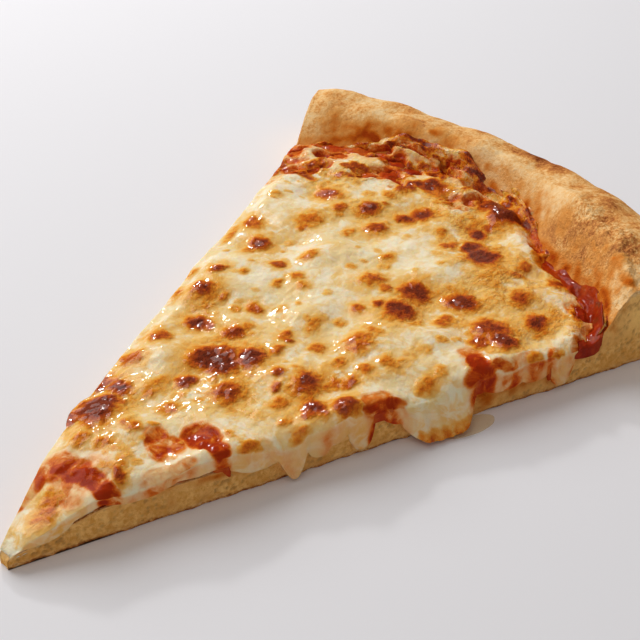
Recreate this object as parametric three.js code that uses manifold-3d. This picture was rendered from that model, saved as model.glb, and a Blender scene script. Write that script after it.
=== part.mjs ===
// Cheese pizza slice: one eighth of a round pie, cut straight, lying flat.
// Three layers run through it: dough with its puffed crust, tomato sauce, and melted cheese
// that has run over the front cut in drips and one broad tongue.
//
// Millimetres, +Z up. +X runs from the tip to the crust and -Y faces the front cut. The origin lies
// on the flat underside, on the slice's middle line.

import * as THREE from 'three';
import { mergeVertices } from 'three/addons/utils/BufferGeometryUtils.js';
import Module from 'manifold-3d';

// ---- Driving dimensions: the cut ----
const wedge = 44.6;            // degrees between the two cuts
const apexToOrigin = 110;      // from the point where the cuts would meet to the origin
const tipRadius = 4.5;         // the blunt tip, measured from that point
const halfWedge = wedge / 2;

// ---- Driving dimensions: the layers ----
const slab = 8.3;              // dough under the toppings
const tipShare = 0.42;         // how much of that thickness is left at the very tip
const tipTaper = 24;           // length over which the dough thins to the tip
const sauceThickness = 1.2;
const cheeseThickness = 2.1;
const gap = 0.4;               // between two layers
const sauceTip = 3;            // how far the sauce stays back from the tip
const cheeseTip = 0.8;         // how far the cheese stays back from the tip

// Where the cheese thins out: the share of its thickness left there, and the reach of the thinning.
const cheeseAtTip = { share: 0.45, reach: 30 };
const cheeseAtCrust = { share: 0.3, reach: 6 };
const cheeseAtBackCut = { share: 0.4, reach: 5 };

// Uneven ground of each layer: height in millimetres, or as a share of the layer, the length of the
// waves, and where they start.
const slabWaves = { height: 0.35, length: 46, start: 0.4 };
const crustWaves = { height: 0.6, length: 17, start: 1.3 };
const sauceWaves = { height: 0.25, length: 34, start: 2.2 };
const cheeseWaves = { height: 0.32, length: 21, start: 0.9 };
const cheeseLumps = { height: 0.2, length: 11, start: 2.9 };

// ---- Driving dimensions: the crust, as [degrees from the middle line, mm], front cut first ----
const crustFoot = [[-22.3, 148.5], [-17, 159], [-9, 166], [-4, 174], [1, 182], [10, 183], [22.3, 181]];
const crustCrest = [[-22.3, 160.5], [-15, 170], [-5, 184], [8, 195], [22.3, 199.5]];
const crustOuter = [[-22.3, 190], [-12, 196.5], [-5, 201], [0, 204.5], [10, 210.5], [17, 213.5],
  [22.3, 213.5]];
const crustHeight = [[-22.3, 23.5], [-15, 24], [-5, 21], [8, 18.5], [22.3, 19.5]];
const flatShare = 0.3;         // how far past the crest the crust starts to roll down
const equator = 8;             // height of the crust's outermost line
const equatorBand = 1;         // thickness of that line
const underRoll = 9;           // how far in the rounded underside reaches
const pinch = 1.2;             // how much the knife pressed the crust down at each cut
const pinchReach = 6;

// ---- Driving dimensions: the toppings' ends ----
const sauceEnd = [[-22.3, 152.5], [-17, 162], [-11.6, 167.5], [-8, 168.5], [-4, 175], [0, 182.5], [7, 182.5],
  [13, 184.5], [22.3, 183.5]];
const cheeseEnd = [[-22.3, 143], [-19, 150], [-16, 158], [-12, 161], [-6.5, 168], [-1, 173], [2, 168.5],
  [6, 171], [9, 166.5], [13, 168], [17, 160], [22.3, 155]];

// Puffed bubbles of the crust: distance from the cuts' meeting point, degrees, width, height.
const crustBubbles = [
  [178, -7.5, 17, 2.6],
  [188, 4.5, 13, 1.8],
  [172, -15.5, 12, 1.8],
  [192, 12.5, 11, 1.2],
  [198, 19, 12, -1.2],
  [190, -1.5, 9, -1.4],
];

// The back cut wavers: [distance along it, mm outwards].
const backCutWaver = [[0, -0.6], [30, -0.4], [60, 0.4], [100, 0], [140, -1.5], [165, -1.1], [186, 0],
  [215, 0]];

// Cheese that hangs over the front cut: distance along it, half width, how far it stands out,
// how far its foot spreads, and the height at which it ends.
const drips = [
  { at: 12, halfWidth: 13, out: 0.6, spread: 0, end: 2 },
  { at: 69, halfWidth: 8, out: 2.4, spread: 1.4, end: 0.9 },
  { at: 85, halfWidth: 5, out: 1.8, spread: 0, end: 2.2 },
  { at: 107, halfWidth: 12, out: 2.6, spread: 2.6, end: 0.5 },
  { at: 127, halfWidth: 8, out: 0.8, spread: 0, end: 5.5 },
  { at: 141, halfWidth: 5.5, out: 1.7, spread: 0, end: 1.4 },
];

// Places where the cheese has parted over the sauce: centre from the cuts' meeting point, half
// length, half width, and the turn of the long side in degrees.
const windows = [
  { x: 49.5, y: -15.5, halfLength: 8.5, halfWidth: 4.2, turn: 92 },
  { x: 41, y: -7.2, halfLength: 6, halfWidth: 2.1, turn: 50 },
  { x: 24.3, y: -2.6, halfLength: 5.6, halfWidth: 2.5, turn: 105 },
  { x: 111, y: -40.3, halfLength: 6, halfWidth: 5, turn: -60 },
  { x: 87.6, y: -36, halfLength: 5.5, halfWidth: 2.4, turn: -22 },
  { x: 150.5, y: 56, halfLength: 6, halfWidth: 2.6, turn: 14 },
];

// ---- Small helpers ----
const radians = Math.PI / 180;
const clamp = (value, low, high) => Math.min(high, Math.max(low, value));
const mix = (a, b, share) => a + (b - a) * share;
const smooth = (share) => THREE.MathUtils.smoothstep(share, 0, 1);

// A smooth line through [position, value] stops.
function through(stops, position) {
  let i = 0;
  while (i < stops.length - 2 && position > stops[i + 1][0]) i += 1;
  const [before, from, to, after] = [i - 1, i, i + 1, i + 2].map((k) => stops[clamp(k, 0, stops.length - 1)]);
  const share = clamp((position - from[0]) / (to[0] - from[0]), 0, 1);
  const slopeFrom = ((to[1] - before[1]) / (to[0] - before[0])) * (to[0] - from[0]);
  const slopeTo = ((after[1] - from[1]) / (after[0] - from[0])) * (to[0] - from[0]);
  const square = share * share;
  const cube = square * share;
  return (2 * cube - 3 * square + 1) * from[1] + (cube - 2 * square + share) * slopeFrom
    + (3 * square - 2 * cube) * to[1] + (cube - square) * slopeTo;
}

// Uneven ground: waves that cross in five directions, each a little longer than the one before.
const waveDirections = [0.3, 1.1, 1.9, 2.4, 3.0];
const waveStretch = 0.17;
const wavePhase = 2.7;
const waveSum = 3;             // the sum of the waves is brought down to about 1 by this
function swell(x, y, { height, length, start }) {
  const sum = waveDirections.reduce((total, direction, i) => {
    const along = x * Math.cos(direction + start) + y * Math.sin(direction + start);
    const turns = (2 * Math.PI * along) / (length * (1 + waveStretch * i));
    return total + Math.sin(turns + start * (i + 1) * wavePhase);
  }, 0);
  return (height * sum) / waveSum;
}

// ---- The slice's own frame: r from the cuts' meeting point, angle in degrees from the middle ----
const cutNormal = (side) => new THREE.Vector2(
  -Math.sin(halfWedge * radians),
  side * Math.cos(halfWedge * radians),
);
const frontNormal = cutNormal(-1);
const backNormal = cutNormal(1);

function plan(r, angle) {
  const point = new THREE.Vector2(r * Math.cos(angle * radians), r * Math.sin(angle * radians));
  const backShare = smooth(clamp(angle / halfWedge, 0, 1));
  return point.addScaledVector(backNormal, backShare * through(backCutWaver, r));
}

// Distance to the back cut.
const toCut = (r, angle) => r * Math.sin((halfWedge - angle) * radians);

// ---- Heights of the layers ----
function slabTop(r, angle) {
  const { x, y } = plan(r, angle);
  const taper = mix(tipShare, 1, smooth((r - tipRadius) / tipTaper));
  return (slab + swell(x, y, slabWaves)) * taper;
}

function crustRelief(r, angle) {
  const { x, y } = plan(r, angle);
  const bubbles = crustBubbles.reduce((total, [distance, turn, width, height]) => {
    const centre = plan(distance, turn);
    const away = Math.hypot(x - centre.x, y - centre.y) / (width / 2);
    return total + height * Math.exp(-away * away);
  }, 0);
  const pressed = pinch * (1 - smooth(toCut(r, Math.abs(angle)) / pinchReach));
  return bubbles + swell(x, y, crustWaves) - pressed;
}

// How far the crust has climbed at a place: 0 at its foot, 1 at its crest.
function climb(r, angle) {
  const foot = through(crustFoot, angle);
  return smooth((r - foot) / (through(crustCrest, angle) - foot));
}

function doughTop(r, angle) {
  const outer = through(crustOuter, angle);
  const flatEnd = mix(through(crustCrest, angle), outer, flatShare);
  const roll = clamp((r - flatEnd) / (outer - flatEnd), 0, 1);
  const height = through(crustHeight, angle) + crustRelief(r, angle);
  const over = mix(slabTop(r, angle), height, climb(r, angle));
  return equator + equatorBand / 2 + (over - equator - equatorBand / 2) * Math.sqrt(1 - roll * roll);
}

function doughBottom(r, angle) {
  const outer = through(crustOuter, angle);
  const roll = clamp((r - outer + underRoll) / underRoll, 0, 1);
  return (equator - equatorBand / 2) * (1 - Math.sqrt(1 - roll * roll));
}

// The gap is wider where the layers climb the crust, to stay as wide across the slope.
const gapOnCrust = 3 * gap;
const sauceBottom = (r, angle) => doughTop(r, angle) + mix(gap, gapOnCrust, climb(r, angle));

function sauceTop(r, angle) {
  const { x, y } = plan(r, angle);
  return sauceBottom(r, angle) + sauceThickness * (1 + swell(x, y, sauceWaves));
}

const cheeseBottom = (r, angle) => sauceTop(r, angle) + gap;

function cheeseTop(r, angle) {
  const { x, y } = plan(r, angle);
  const toCrust = clamp((through(cheeseEnd, angle) - r) / cheeseAtCrust.reach, 0, 1);
  const atTip = mix(cheeseAtTip.share, 1, smooth((r - tipRadius) / cheeseAtTip.reach));
  const atCrust = mix(cheeseAtCrust.share, 1, Math.sqrt(toCrust));
  const atBackCut = mix(cheeseAtBackCut.share, 1, smooth(toCut(r, angle) / cheeseAtBackCut.reach));
  const lumps = 1 + swell(x, y, cheeseWaves) + swell(x, y, cheeseLumps);
  return cheeseBottom(r, angle) + cheeseThickness * lumps * atTip * atCrust * atBackCut;
}

// ---- Solids ----
// A unit box, cut into a grid, is the raw piece of every layer. place() gets each corner's share of
// the way from tip to crust, from back cut to front cut, and from bottom to top.
function gridSolid(rows, columns, place) {
  const box = new THREE.BoxGeometry(1, 1, 1, rows, columns, 1);
  box.deleteAttribute('normal');
  box.deleteAttribute('uv');
  const solid = mergeVertices(box);
  const corners = solid.getAttribute('position');
  for (let i = 0; i < corners.count; i += 1) {
    const outward = corners.getX(i) + 0.5;
    const toFront = 0.5 - corners.getY(i);
    const { x, y, z } = place(outward, toFront, corners.getZ(i) > 0);
    corners.setXYZ(i, x - apexToOrigin, y, z);
  }
  return solid;
}

const angleAcross = (toFront) => mix(halfWedge, -halfWedge, toFront);
const columnsAcross = 26;

// Rows lie closer together at both ends, where the heights change most.
const halfWave = (share) => (1 - Math.cos(Math.PI * share)) / 2;
const crowding = 0.7;
const closerAtEnds = (share) => mix(share, halfWave(share), crowding);

function doughGeometry() {
  const slabRows = 17;
  const crustRows = 17;
  const rows = slabRows + crustRows;
  return gridSolid(rows, columnsAcross, (outward, toFront, onTop) => {
    const angle = angleAcross(toFront);
    const foot = through(crustFoot, angle);
    const row = Math.round(outward * rows);
    const r = row < slabRows
      ? mix(tipRadius, foot, closerAtEnds(row / slabRows))
      : mix(foot, through(crustOuter, angle), halfWave((row - slabRows) / crustRows));
    const { x, y } = plan(r, angle);
    return { x, y, z: onTop ? doughTop(r, angle) : doughBottom(r, angle) };
  });
}

function sauceGeometry() {
  const rows = 28;
  return gridSolid(rows, columnsAcross, (outward, toFront, onTop) => {
    const angle = angleAcross(toFront);
    const r = mix(tipRadius + sauceTip, through(sauceEnd, angle), closerAtEnds(outward));
    const { x, y } = plan(r, angle);
    return { x, y, z: onTop ? sauceTop(r, angle) : sauceBottom(r, angle) };
  });
}

// What hangs over the front cut at a distance along it: how far it stands out, how far its foot
// spreads, and where it ends.
const bareLip = { out: 0.35, hang: 0.2 };
const dripFullness = 1.4;
function dripAt(r, lowestTop) {
  const lip = { out: bareLip.out, spread: 0, end: lowestTop - bareLip.hang };
  drips.forEach((drip) => {
    const away = Math.abs(r - drip.at) / drip.halfWidth;
    const share = smooth(clamp(dripFullness * (1 - away), 0, 1));
    lip.out = Math.max(lip.out, drip.out * Math.sqrt(share));
    lip.spread = Math.max(lip.spread, drip.spread * share);
    lip.end = Math.min(lip.end, mix(lowestTop - bareLip.hang, drip.end, share));
  });
  return lip;
}

// The cheese is a sheet: it lies across the slice and then, past the front cut, drapes down it.
function cheeseGeometry() {
  const rows = 44;
  const drapeColumns = 6;
  const shoulder = 2 / drapeColumns;
  const columns = columnsAcross + drapeColumns;
  return gridSolid(rows, columns, (outward, toFront, onTop) => {
    const column = Math.round(toFront * columns);
    const angle = angleAcross(Math.min(1, column / columnsAcross));
    const r = mix(tipRadius + cheeseTip, through(cheeseEnd, angle), outward);
    const { x, y } = plan(r, angle);
    const top = cheeseTop(r, angle);
    const bottom = cheeseBottom(r, angle);
    if (column <= columnsAcross) return { x, y, z: onTop ? top : bottom };
    const drape = (column - columnsAcross) / drapeColumns;
    const around = Math.min(1, drape / shoulder);
    const fall = Math.max(0, (drape - shoulder) / (1 - shoulder));
    const drip = dripAt(r, bottom);
    const outside = (gap + drip.out) * Math.sin((around * Math.PI) / 2) + drip.spread * fall * fall;
    const shoulderTop = mix(top, mix(top, bottom, 0.5), 1 - Math.cos((around * Math.PI) / 2));
    const out = onTop ? outside : gap;
    const z = onTop ? mix(shoulderTop, drip.end, fall) : mix(bottom, drip.end, fall);
    return { x: x + frontNormal.x * out, y: y + frontNormal.y * out, z };
  });
}

// ---- Openings in the cheese ----
const wasm = await Module();
wasm.setup();

function toManifold(geometry) {
  return new wasm.Manifold(new wasm.Mesh({
    numProp: 3,
    vertProperties: new Float32Array(geometry.getAttribute('position').array),
    triVerts: new Uint32Array(geometry.index.array),
  }));
}

function toGeometry(manifold) {
  const mesh = manifold.getMesh();
  const geometry = new THREE.BufferGeometry();
  geometry.setAttribute('position', new THREE.BufferAttribute(new Float32Array(mesh.vertProperties), 3));
  geometry.setIndex(new THREE.BufferAttribute(new Uint32Array(mesh.triVerts), 1));
  geometry.computeVertexNormals();
  return geometry;
}

const cutterHeight = 40;
const cutterSides = 14;
function windowCutter({ x, y, halfLength, halfWidth, turn }) {
  const cylinder = new THREE.CylinderGeometry(1, 1, cutterHeight, cutterSides);
  cylinder.deleteAttribute('normal');
  cylinder.deleteAttribute('uv');
  cylinder.rotateX(Math.PI / 2);
  cylinder.scale(halfLength, halfWidth, 1);
  cylinder.rotateZ(turn * radians);
  cylinder.translate(x - apexToOrigin, y, 0);
  return toManifold(mergeVertices(cylinder));
}

function openedCheese() {
  const whole = toManifold(cheeseGeometry());
  return toGeometry(windows.reduce((cheese, place) => cheese.subtract(windowCutter(place)), whole));
}

// ---- The slice ----
const bakedDough = new THREE.MeshStandardMaterial({ color: 0xd9a866, roughness: 0.85, metalness: 0 });
const tomatoSauce = new THREE.MeshStandardMaterial({ color: 0xb5341a, roughness: 0.35, metalness: 0 });
const meltedCheese = new THREE.MeshStandardMaterial({ color: 0xf0d9a0, roughness: 0.4, metalness: 0 });

function named(name, geometry, material) {
  const mesh = new THREE.Mesh(geometry, material);
  mesh.name = name;
  return mesh;
}

const slice = new THREE.Group();
slice.add(
  named('dough', doughGeometry(), bakedDough),
  named('sauce', sauceGeometry(), tomatoSauce),
  named('cheese', openedCheese(), meltedCheese),
);

export default slice;
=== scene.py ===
import math

import bmesh
import bpy
import numpy as np
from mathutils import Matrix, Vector


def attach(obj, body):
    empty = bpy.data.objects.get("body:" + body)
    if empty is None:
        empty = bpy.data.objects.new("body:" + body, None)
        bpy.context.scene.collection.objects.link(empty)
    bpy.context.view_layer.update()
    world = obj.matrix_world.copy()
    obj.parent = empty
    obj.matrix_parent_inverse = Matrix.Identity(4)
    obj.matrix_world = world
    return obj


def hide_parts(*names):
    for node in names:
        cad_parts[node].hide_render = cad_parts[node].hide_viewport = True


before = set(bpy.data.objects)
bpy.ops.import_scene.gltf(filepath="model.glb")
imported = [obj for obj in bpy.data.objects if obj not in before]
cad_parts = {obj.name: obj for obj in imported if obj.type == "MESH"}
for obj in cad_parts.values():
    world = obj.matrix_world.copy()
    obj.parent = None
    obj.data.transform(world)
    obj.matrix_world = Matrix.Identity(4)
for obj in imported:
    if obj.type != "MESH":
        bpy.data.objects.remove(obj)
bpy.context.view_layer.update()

# Cheese pizza slice: baked dough with a puffed crust, tomato sauce, and browned melted cheese.
# Sizes are in millimetres until a mesh is written. Places are measured from the point where the two
# cuts would meet, with X towards the crust; the part's own origin lies APEX_TO_ORIGIN further on.
MM = 0.001

# ---- The cut ----
WEDGE = 44.6  # degrees between the two cuts
APEX_TO_ORIGIN = 110
TIP_RADIUS = 4.5  # how far from the cuts' meeting point the tip is blunted
HALF_WEDGE = WEDGE / 2

# ---- The layers ----
SLAB = 8.3
TIP_SHARE = 0.42  # how much of the slab's thickness is left at the tip
TIP_TAPER = 24  # over which length it thins out
SAUCE_THICKNESS = 1.2
CHEESE_THICKNESS = 2.1
GAP = 0.4  # kept clear between the dough and the sauce
SAUCE_TIP = 3  # how far behind the dough's tip the sauce begins
CHEESE_TIP = 0.8  # and the cheese
CHEESE_AT_TIP = (0.45, 30)  # share of its thickness, and over which length the rest comes
CHEESE_AT_BACK_CUT = (0.4, 5)
OPEN_SAUCE = 2  # how much higher the sauce stands where no cheese presses it down

# ---- The crust: (degrees from the middle line, millimetres), front cut first ----
CRUST_FOOT = ((-22.3, 148.5), (-17, 159), (-9, 166), (-4, 174), (1, 182), (10, 183), (22.3, 181))
CRUST_CREST = ((-22.3, 160.5), (-15, 170), (-5, 184), (8, 195), (22.3, 199.5))
CRUST_OUTER = ((-22.3, 190), (-12, 196.5), (-5, 201), (0, 204.5), (10, 210.5), (17, 213.5), (22.3, 213.5))
CRUST_HEIGHT = ((-22.3, 23.5), (-15, 24), (-5, 21), (8, 18.5), (22.3, 19.5))
FLAT_SHARE = 0.3  # of the way from the crest outwards, before the crust rounds over
EQUATOR = 8  # the height at which the crust stands out farthest
EQUATOR_BAND = 1  # height of the upright band there
UNDER_ROLL = 9  # how far in the rounding runs underneath
PINCH = 1.2  # how far the knife pressed the crust down at the cuts
PINCH_REACH = 6  # from the cuts

# ---- Where the toppings end: (degrees, millimetres) again ----
# Where the closed sheet of cheese ends.
CHEESE_END = (
    (-22.3, 143), (-19, 150), (-16, 158), (-12, 161), (-6.5, 168), (-1, 173), (2, 168.5), (6, 171),
    (9, 166.5), (13, 168), (17, 160), (22.3, 155),
)
# How far ragged bits of the sauce and of the cheese get up the crust.
SAUCE_EDGE = (
    (-22.3, 154.4), (-20, 158.4), (-16.7, 163.4), (-14, 165.2), (-11, 167.4), (-8, 170.4), (-5, 177),
    (-1.5, 183), (1, 184.5), (3.4, 186.5), (8, 187.5), (13, 188.6), (18, 187.6), (22.3, 185.6),
)
CHEESE_EDGE = (
    (-22.3, 146), (-19, 152.5), (-16, 159), (-12, 163.5), (-6.5, 167), (-1, 173), (2, 171), (6, 173),
    (9, 170), (13, 170), (17, 163), (22.3, 158),
)
# Beyond this line bits of cheese lie on the sauce again.
OUTER_BITS = (
    (-22.3, 156), (-20, 158), (-16.7, 161.4), (-14, 163.4), (-11, 166), (-8, 169), (-5, 176), (0, 185),
    (3, 185), (7, 187), (12, 188.6), (16, 194), (22.3, 200),
)
CLIMBING = 4.2  # how much farther than the sauce the cheese goes up the back half of the crust

# Puffed bubbles and dents of the crust: distance, degrees, width, height.
CRUST_BUBBLES = (
    (178, -7.5, 17, 2.6), (188, 4.5, 13, 1.8), (172, -15.5, 12, 1.8), (192, 12.5, 11, 1.2),
    (198, 19, 12, -1.2), (190, -1.5, 9, -1.4),
)
# How far the back cut wavers: distance along it, outwards.
BACK_CUT_WAVER = ((0, -0.6), (30, -0.4), (60, 0.4), (100, 0), (140, -1.5), (165, -1.1), (186, 0), (215, 0))

# Uneven ground: height, wave length, start.
SLAB_WAVES = (0.35, 46, 0.4)
CRUST_WAVES = (0.6, 17, 1.3)
SAUCE_WAVES = (0.25, 34, 2.2)
CHEESE_WAVES = (0.32, 21, 0.9)
CHEESE_LUMPS = (0.2, 11, 2.9)
WAVE_DIRECTIONS = (0.3, 1.1, 1.9, 2.4, 3.0)
WAVE_STRETCH = 0.17
WAVE_PHASE = 2.7
WAVE_SUM = 3

# The broad tongue of cheese that runs out over the floor: where it hangs along the front cut.
TONGUE_AT = 106.5
TONGUE_HALF = 11  # its half width
TONGUE_FOOT = 107  # the middle of its browned foot
# What hangs over the front cut: distance along it, half width, how far it stands out, how far its
# foot runs over the floor, the height at which it ends, and how blunt it is.
CHEESE_DRIPS = (
    (10, 9, 0.35, 0, 4.2, 2), (34, 8, 0.4, 0, 7.6, 2), (61, 8, 0.6, 0, 5.4, 2),
    (69, 5.6, 1.3, 0.8, 0.5, 1.45), (75.8, 3.6, 0.6, 0, 3.4, 2.4), (79.5, 5, 0.5, 0, 5.4, 1.8),
    (86.4, 3.6, 0.8, 0, 1.8, 2.4), (97, 6, 0.8, 0, 5.6, 2), (TONGUE_AT, TONGUE_HALF, 3.0, 2.4, 0.12, 2.6),
    (125, 9, 0.6, 0, 5.2, 2), (133.5, 7, 0.6, 0, 5.0, 2), (141, 4.4, 0.9, 0, 1.4, 2),
)
SAUCE_DRIPS = (
    (40.5, 1.7, 0.7, 0.1, 0.3, 1.3), (54, 1.8, 0.4, 0, 6, 1.5), (92, 7, 0.3, 0, 7.8, 2),
    (117, 7, 0.3, 0, 6.4, 2), (137.5, 3, 0.6, 0, 3, 2), (149, 7, 0.35, 0, 7, 1.6),
)
# Nubs of cheese that stand out over the back cut: distance along it, half width, how far.
BACK_NUBS = ((42, 6, 1.8),)

# Where the sauce shows: centre, length, width, degrees, and how thinly cheese covers it (1: not at all).
SAUCY_PLACES = (
    (15.3, 5.8, 9, 4, 5, 0.55), (20.2, 6.2, 9, 5.4, 5, 0.66), (24, 4.4, 9, 9, 120, 0.74),
    (25.4, 0.6, 9, 7.4, 100, 0.84), (25.6, -3.4, 9, 6, 95, 1.0), (25, -7.4, 8, 5.4, 95, 1.1),
    (24.8, -10.6, 6, 4.4, 0, 1.1), (29.5, -2.5, 12, 9, 90, 0.36), (19.6, -1.4, 9, 8, 60, 0.5),
    (20.4, -4.4, 7, 6, 60, 0.5), (42.6, -6.6, 13, 7, 64, 0.74), (44.5, -9.5, 9, 6, 66, 0.55),
    (50.2, -12.5, 11, 8, 92, 1.0), (49.5, -17.5, 9, 6, 75, 0.95), (36, -13.5, 10, 4, -22, 0.4),
    (41, -16, 9, 4, -22, 0.44), (57, -22.3, 9, 5, -20, 0.3), (66, -25, 7, 4, -20, 0.2),
    (73.5, -28.5, 8, 5, -20, 0.24), (80, -31.5, 7, 4, -20, 0.24), (85.5, -34.4, 13, 3.6, -22, 0.9),
    (85, -32, 12, 6, -22, 0.5), (112, -42, 11, 6, 60, 1.0), (109, -43.6, 8, 4, -22, 0.85),
    (116, -46.6, 9, 3.6, -22, 0.8), (114, -38, 9, 8, 40, 0.5), (122, -49, 12, 4, -22, 0.4),
    (128.4, -52, 4, 4, 0, 0.66), (84, -22, 12, 8, 20, 0.26), (76, -12, 12, 9, 0, 0.22),
    (137.5, -55.5, 6, 4, 35, 0.9), (141.5, -56, 8, 4, 40, 1), (145.4, -54.6, 9, 4, 44, 1.05),
    (149.4, -50.6, 9, 4.4, 48, 1.05), (153, -45.6, 9, 4, 54, 1), (157, -40.4, 9, 3.6, 58, 1),
    (161.6, -34.2, 9, 3.4, 62, 0.95), (165, -28, 8, 3.2, 72, 0.95), (165.6, -22.5, 8, 3.2, 80, 0.85),
    (171, 66.5, 9, 6, -60, 0.9), (171.5, 60, 8, 5, -50, 0.8), (175, 56.6, 12, 4, -60, 1),
    (178, 49.8, 12, 4.4, -65, 1), (181, 43.8, 10, 4, -70, 1), (171, 52, 7, 5, -60, 0.9),
    (167, 56, 7, 5, -50, 0.85), (162, 63, 7, 4, -45, 0.8), (178.5, 36, 9, 7, -70, 1.0),
    (178, 29.5, 8, 7, -70, 0.95), (182, 24, 9, 5, -75, 0.8), (186, 18, 7, 4, -80, 0.8),
    (182, 9, 8, 5, 90, 0.75), (168, 51, 8, 5, -50, 0.6), (159, 61, 9, 5, -40, 0.7),
    (64, -3, 14, 12, 0, 0.18), (100, -18, 14, 8, 0, 0.18), (122, -30, 16, 12, 0, 0.22),
    (152, -10, 16, 12, 0, 0.22),
)
# Golden places where the cheese is thin and baked all over: centre, length, width, degrees, strength.
GOLDEN_PLACES = (
    (151, -12, 26, 16, 60, 0.34), (146, -26, 24, 16, 50, 0.36), (133, -23, 20, 14, 30, 0.26),
    (157, -33, 16, 12, 60, 0.3), (163, -4, 18, 12, 80, 0.34), (172, 10, 18, 12, 85, 0.3),
    (74, 4, 26, 16, 30, 0.22), (44, 13, 22, 12, 20, 0.3), (79, -20, 20, 14, 0, 0.24),
    (122, -40, 18, 12, 20, 0.26), (118, -14, 16, 12, 0, 0.24), (160, 40, 24, 12, -50, 0.24),
    (31, -2, 14, 12, 0, 0.3), (88, 26, 16, 10, 20, 0.2), (152, 24, 18, 12, 0, 0.2),
    (138, -46, 16, 10, 40, 0.26), (190, 26, 14, 6, -83, 0.5), (187.5, 12, 12, 6, 86, 0.45),
    (17, -1, 12, 8, 0, 0.2), (62, -14, 18, 10, 0, 0.2), (98, -28, 16, 10, 0, 0.2),
)
# Bits of cheese that lie in the sauce near the crust: centre, length, width, degrees.
CHEESE_ISLANDS = (
    (172.9, 45.8, 10, 7, -60), (175, 40.5, 7, 6, 0), (166.6, 53, 9, 5, -50), (184.2, 14.6, 8, 5, 90),
    (176, 13.6, 10, 8, 0), (171, 22, 12, 8, 30), (175.5, -5.5, 15, 10, 75), (170.3, -24.5, 10, 6, 66),
    (181, 33, 6, 4, 0), (163, 34, 12, 6, 0), (165.5, -20, 7, 5, 0), (153.5, -50, 5, 3, 50),
)

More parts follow.
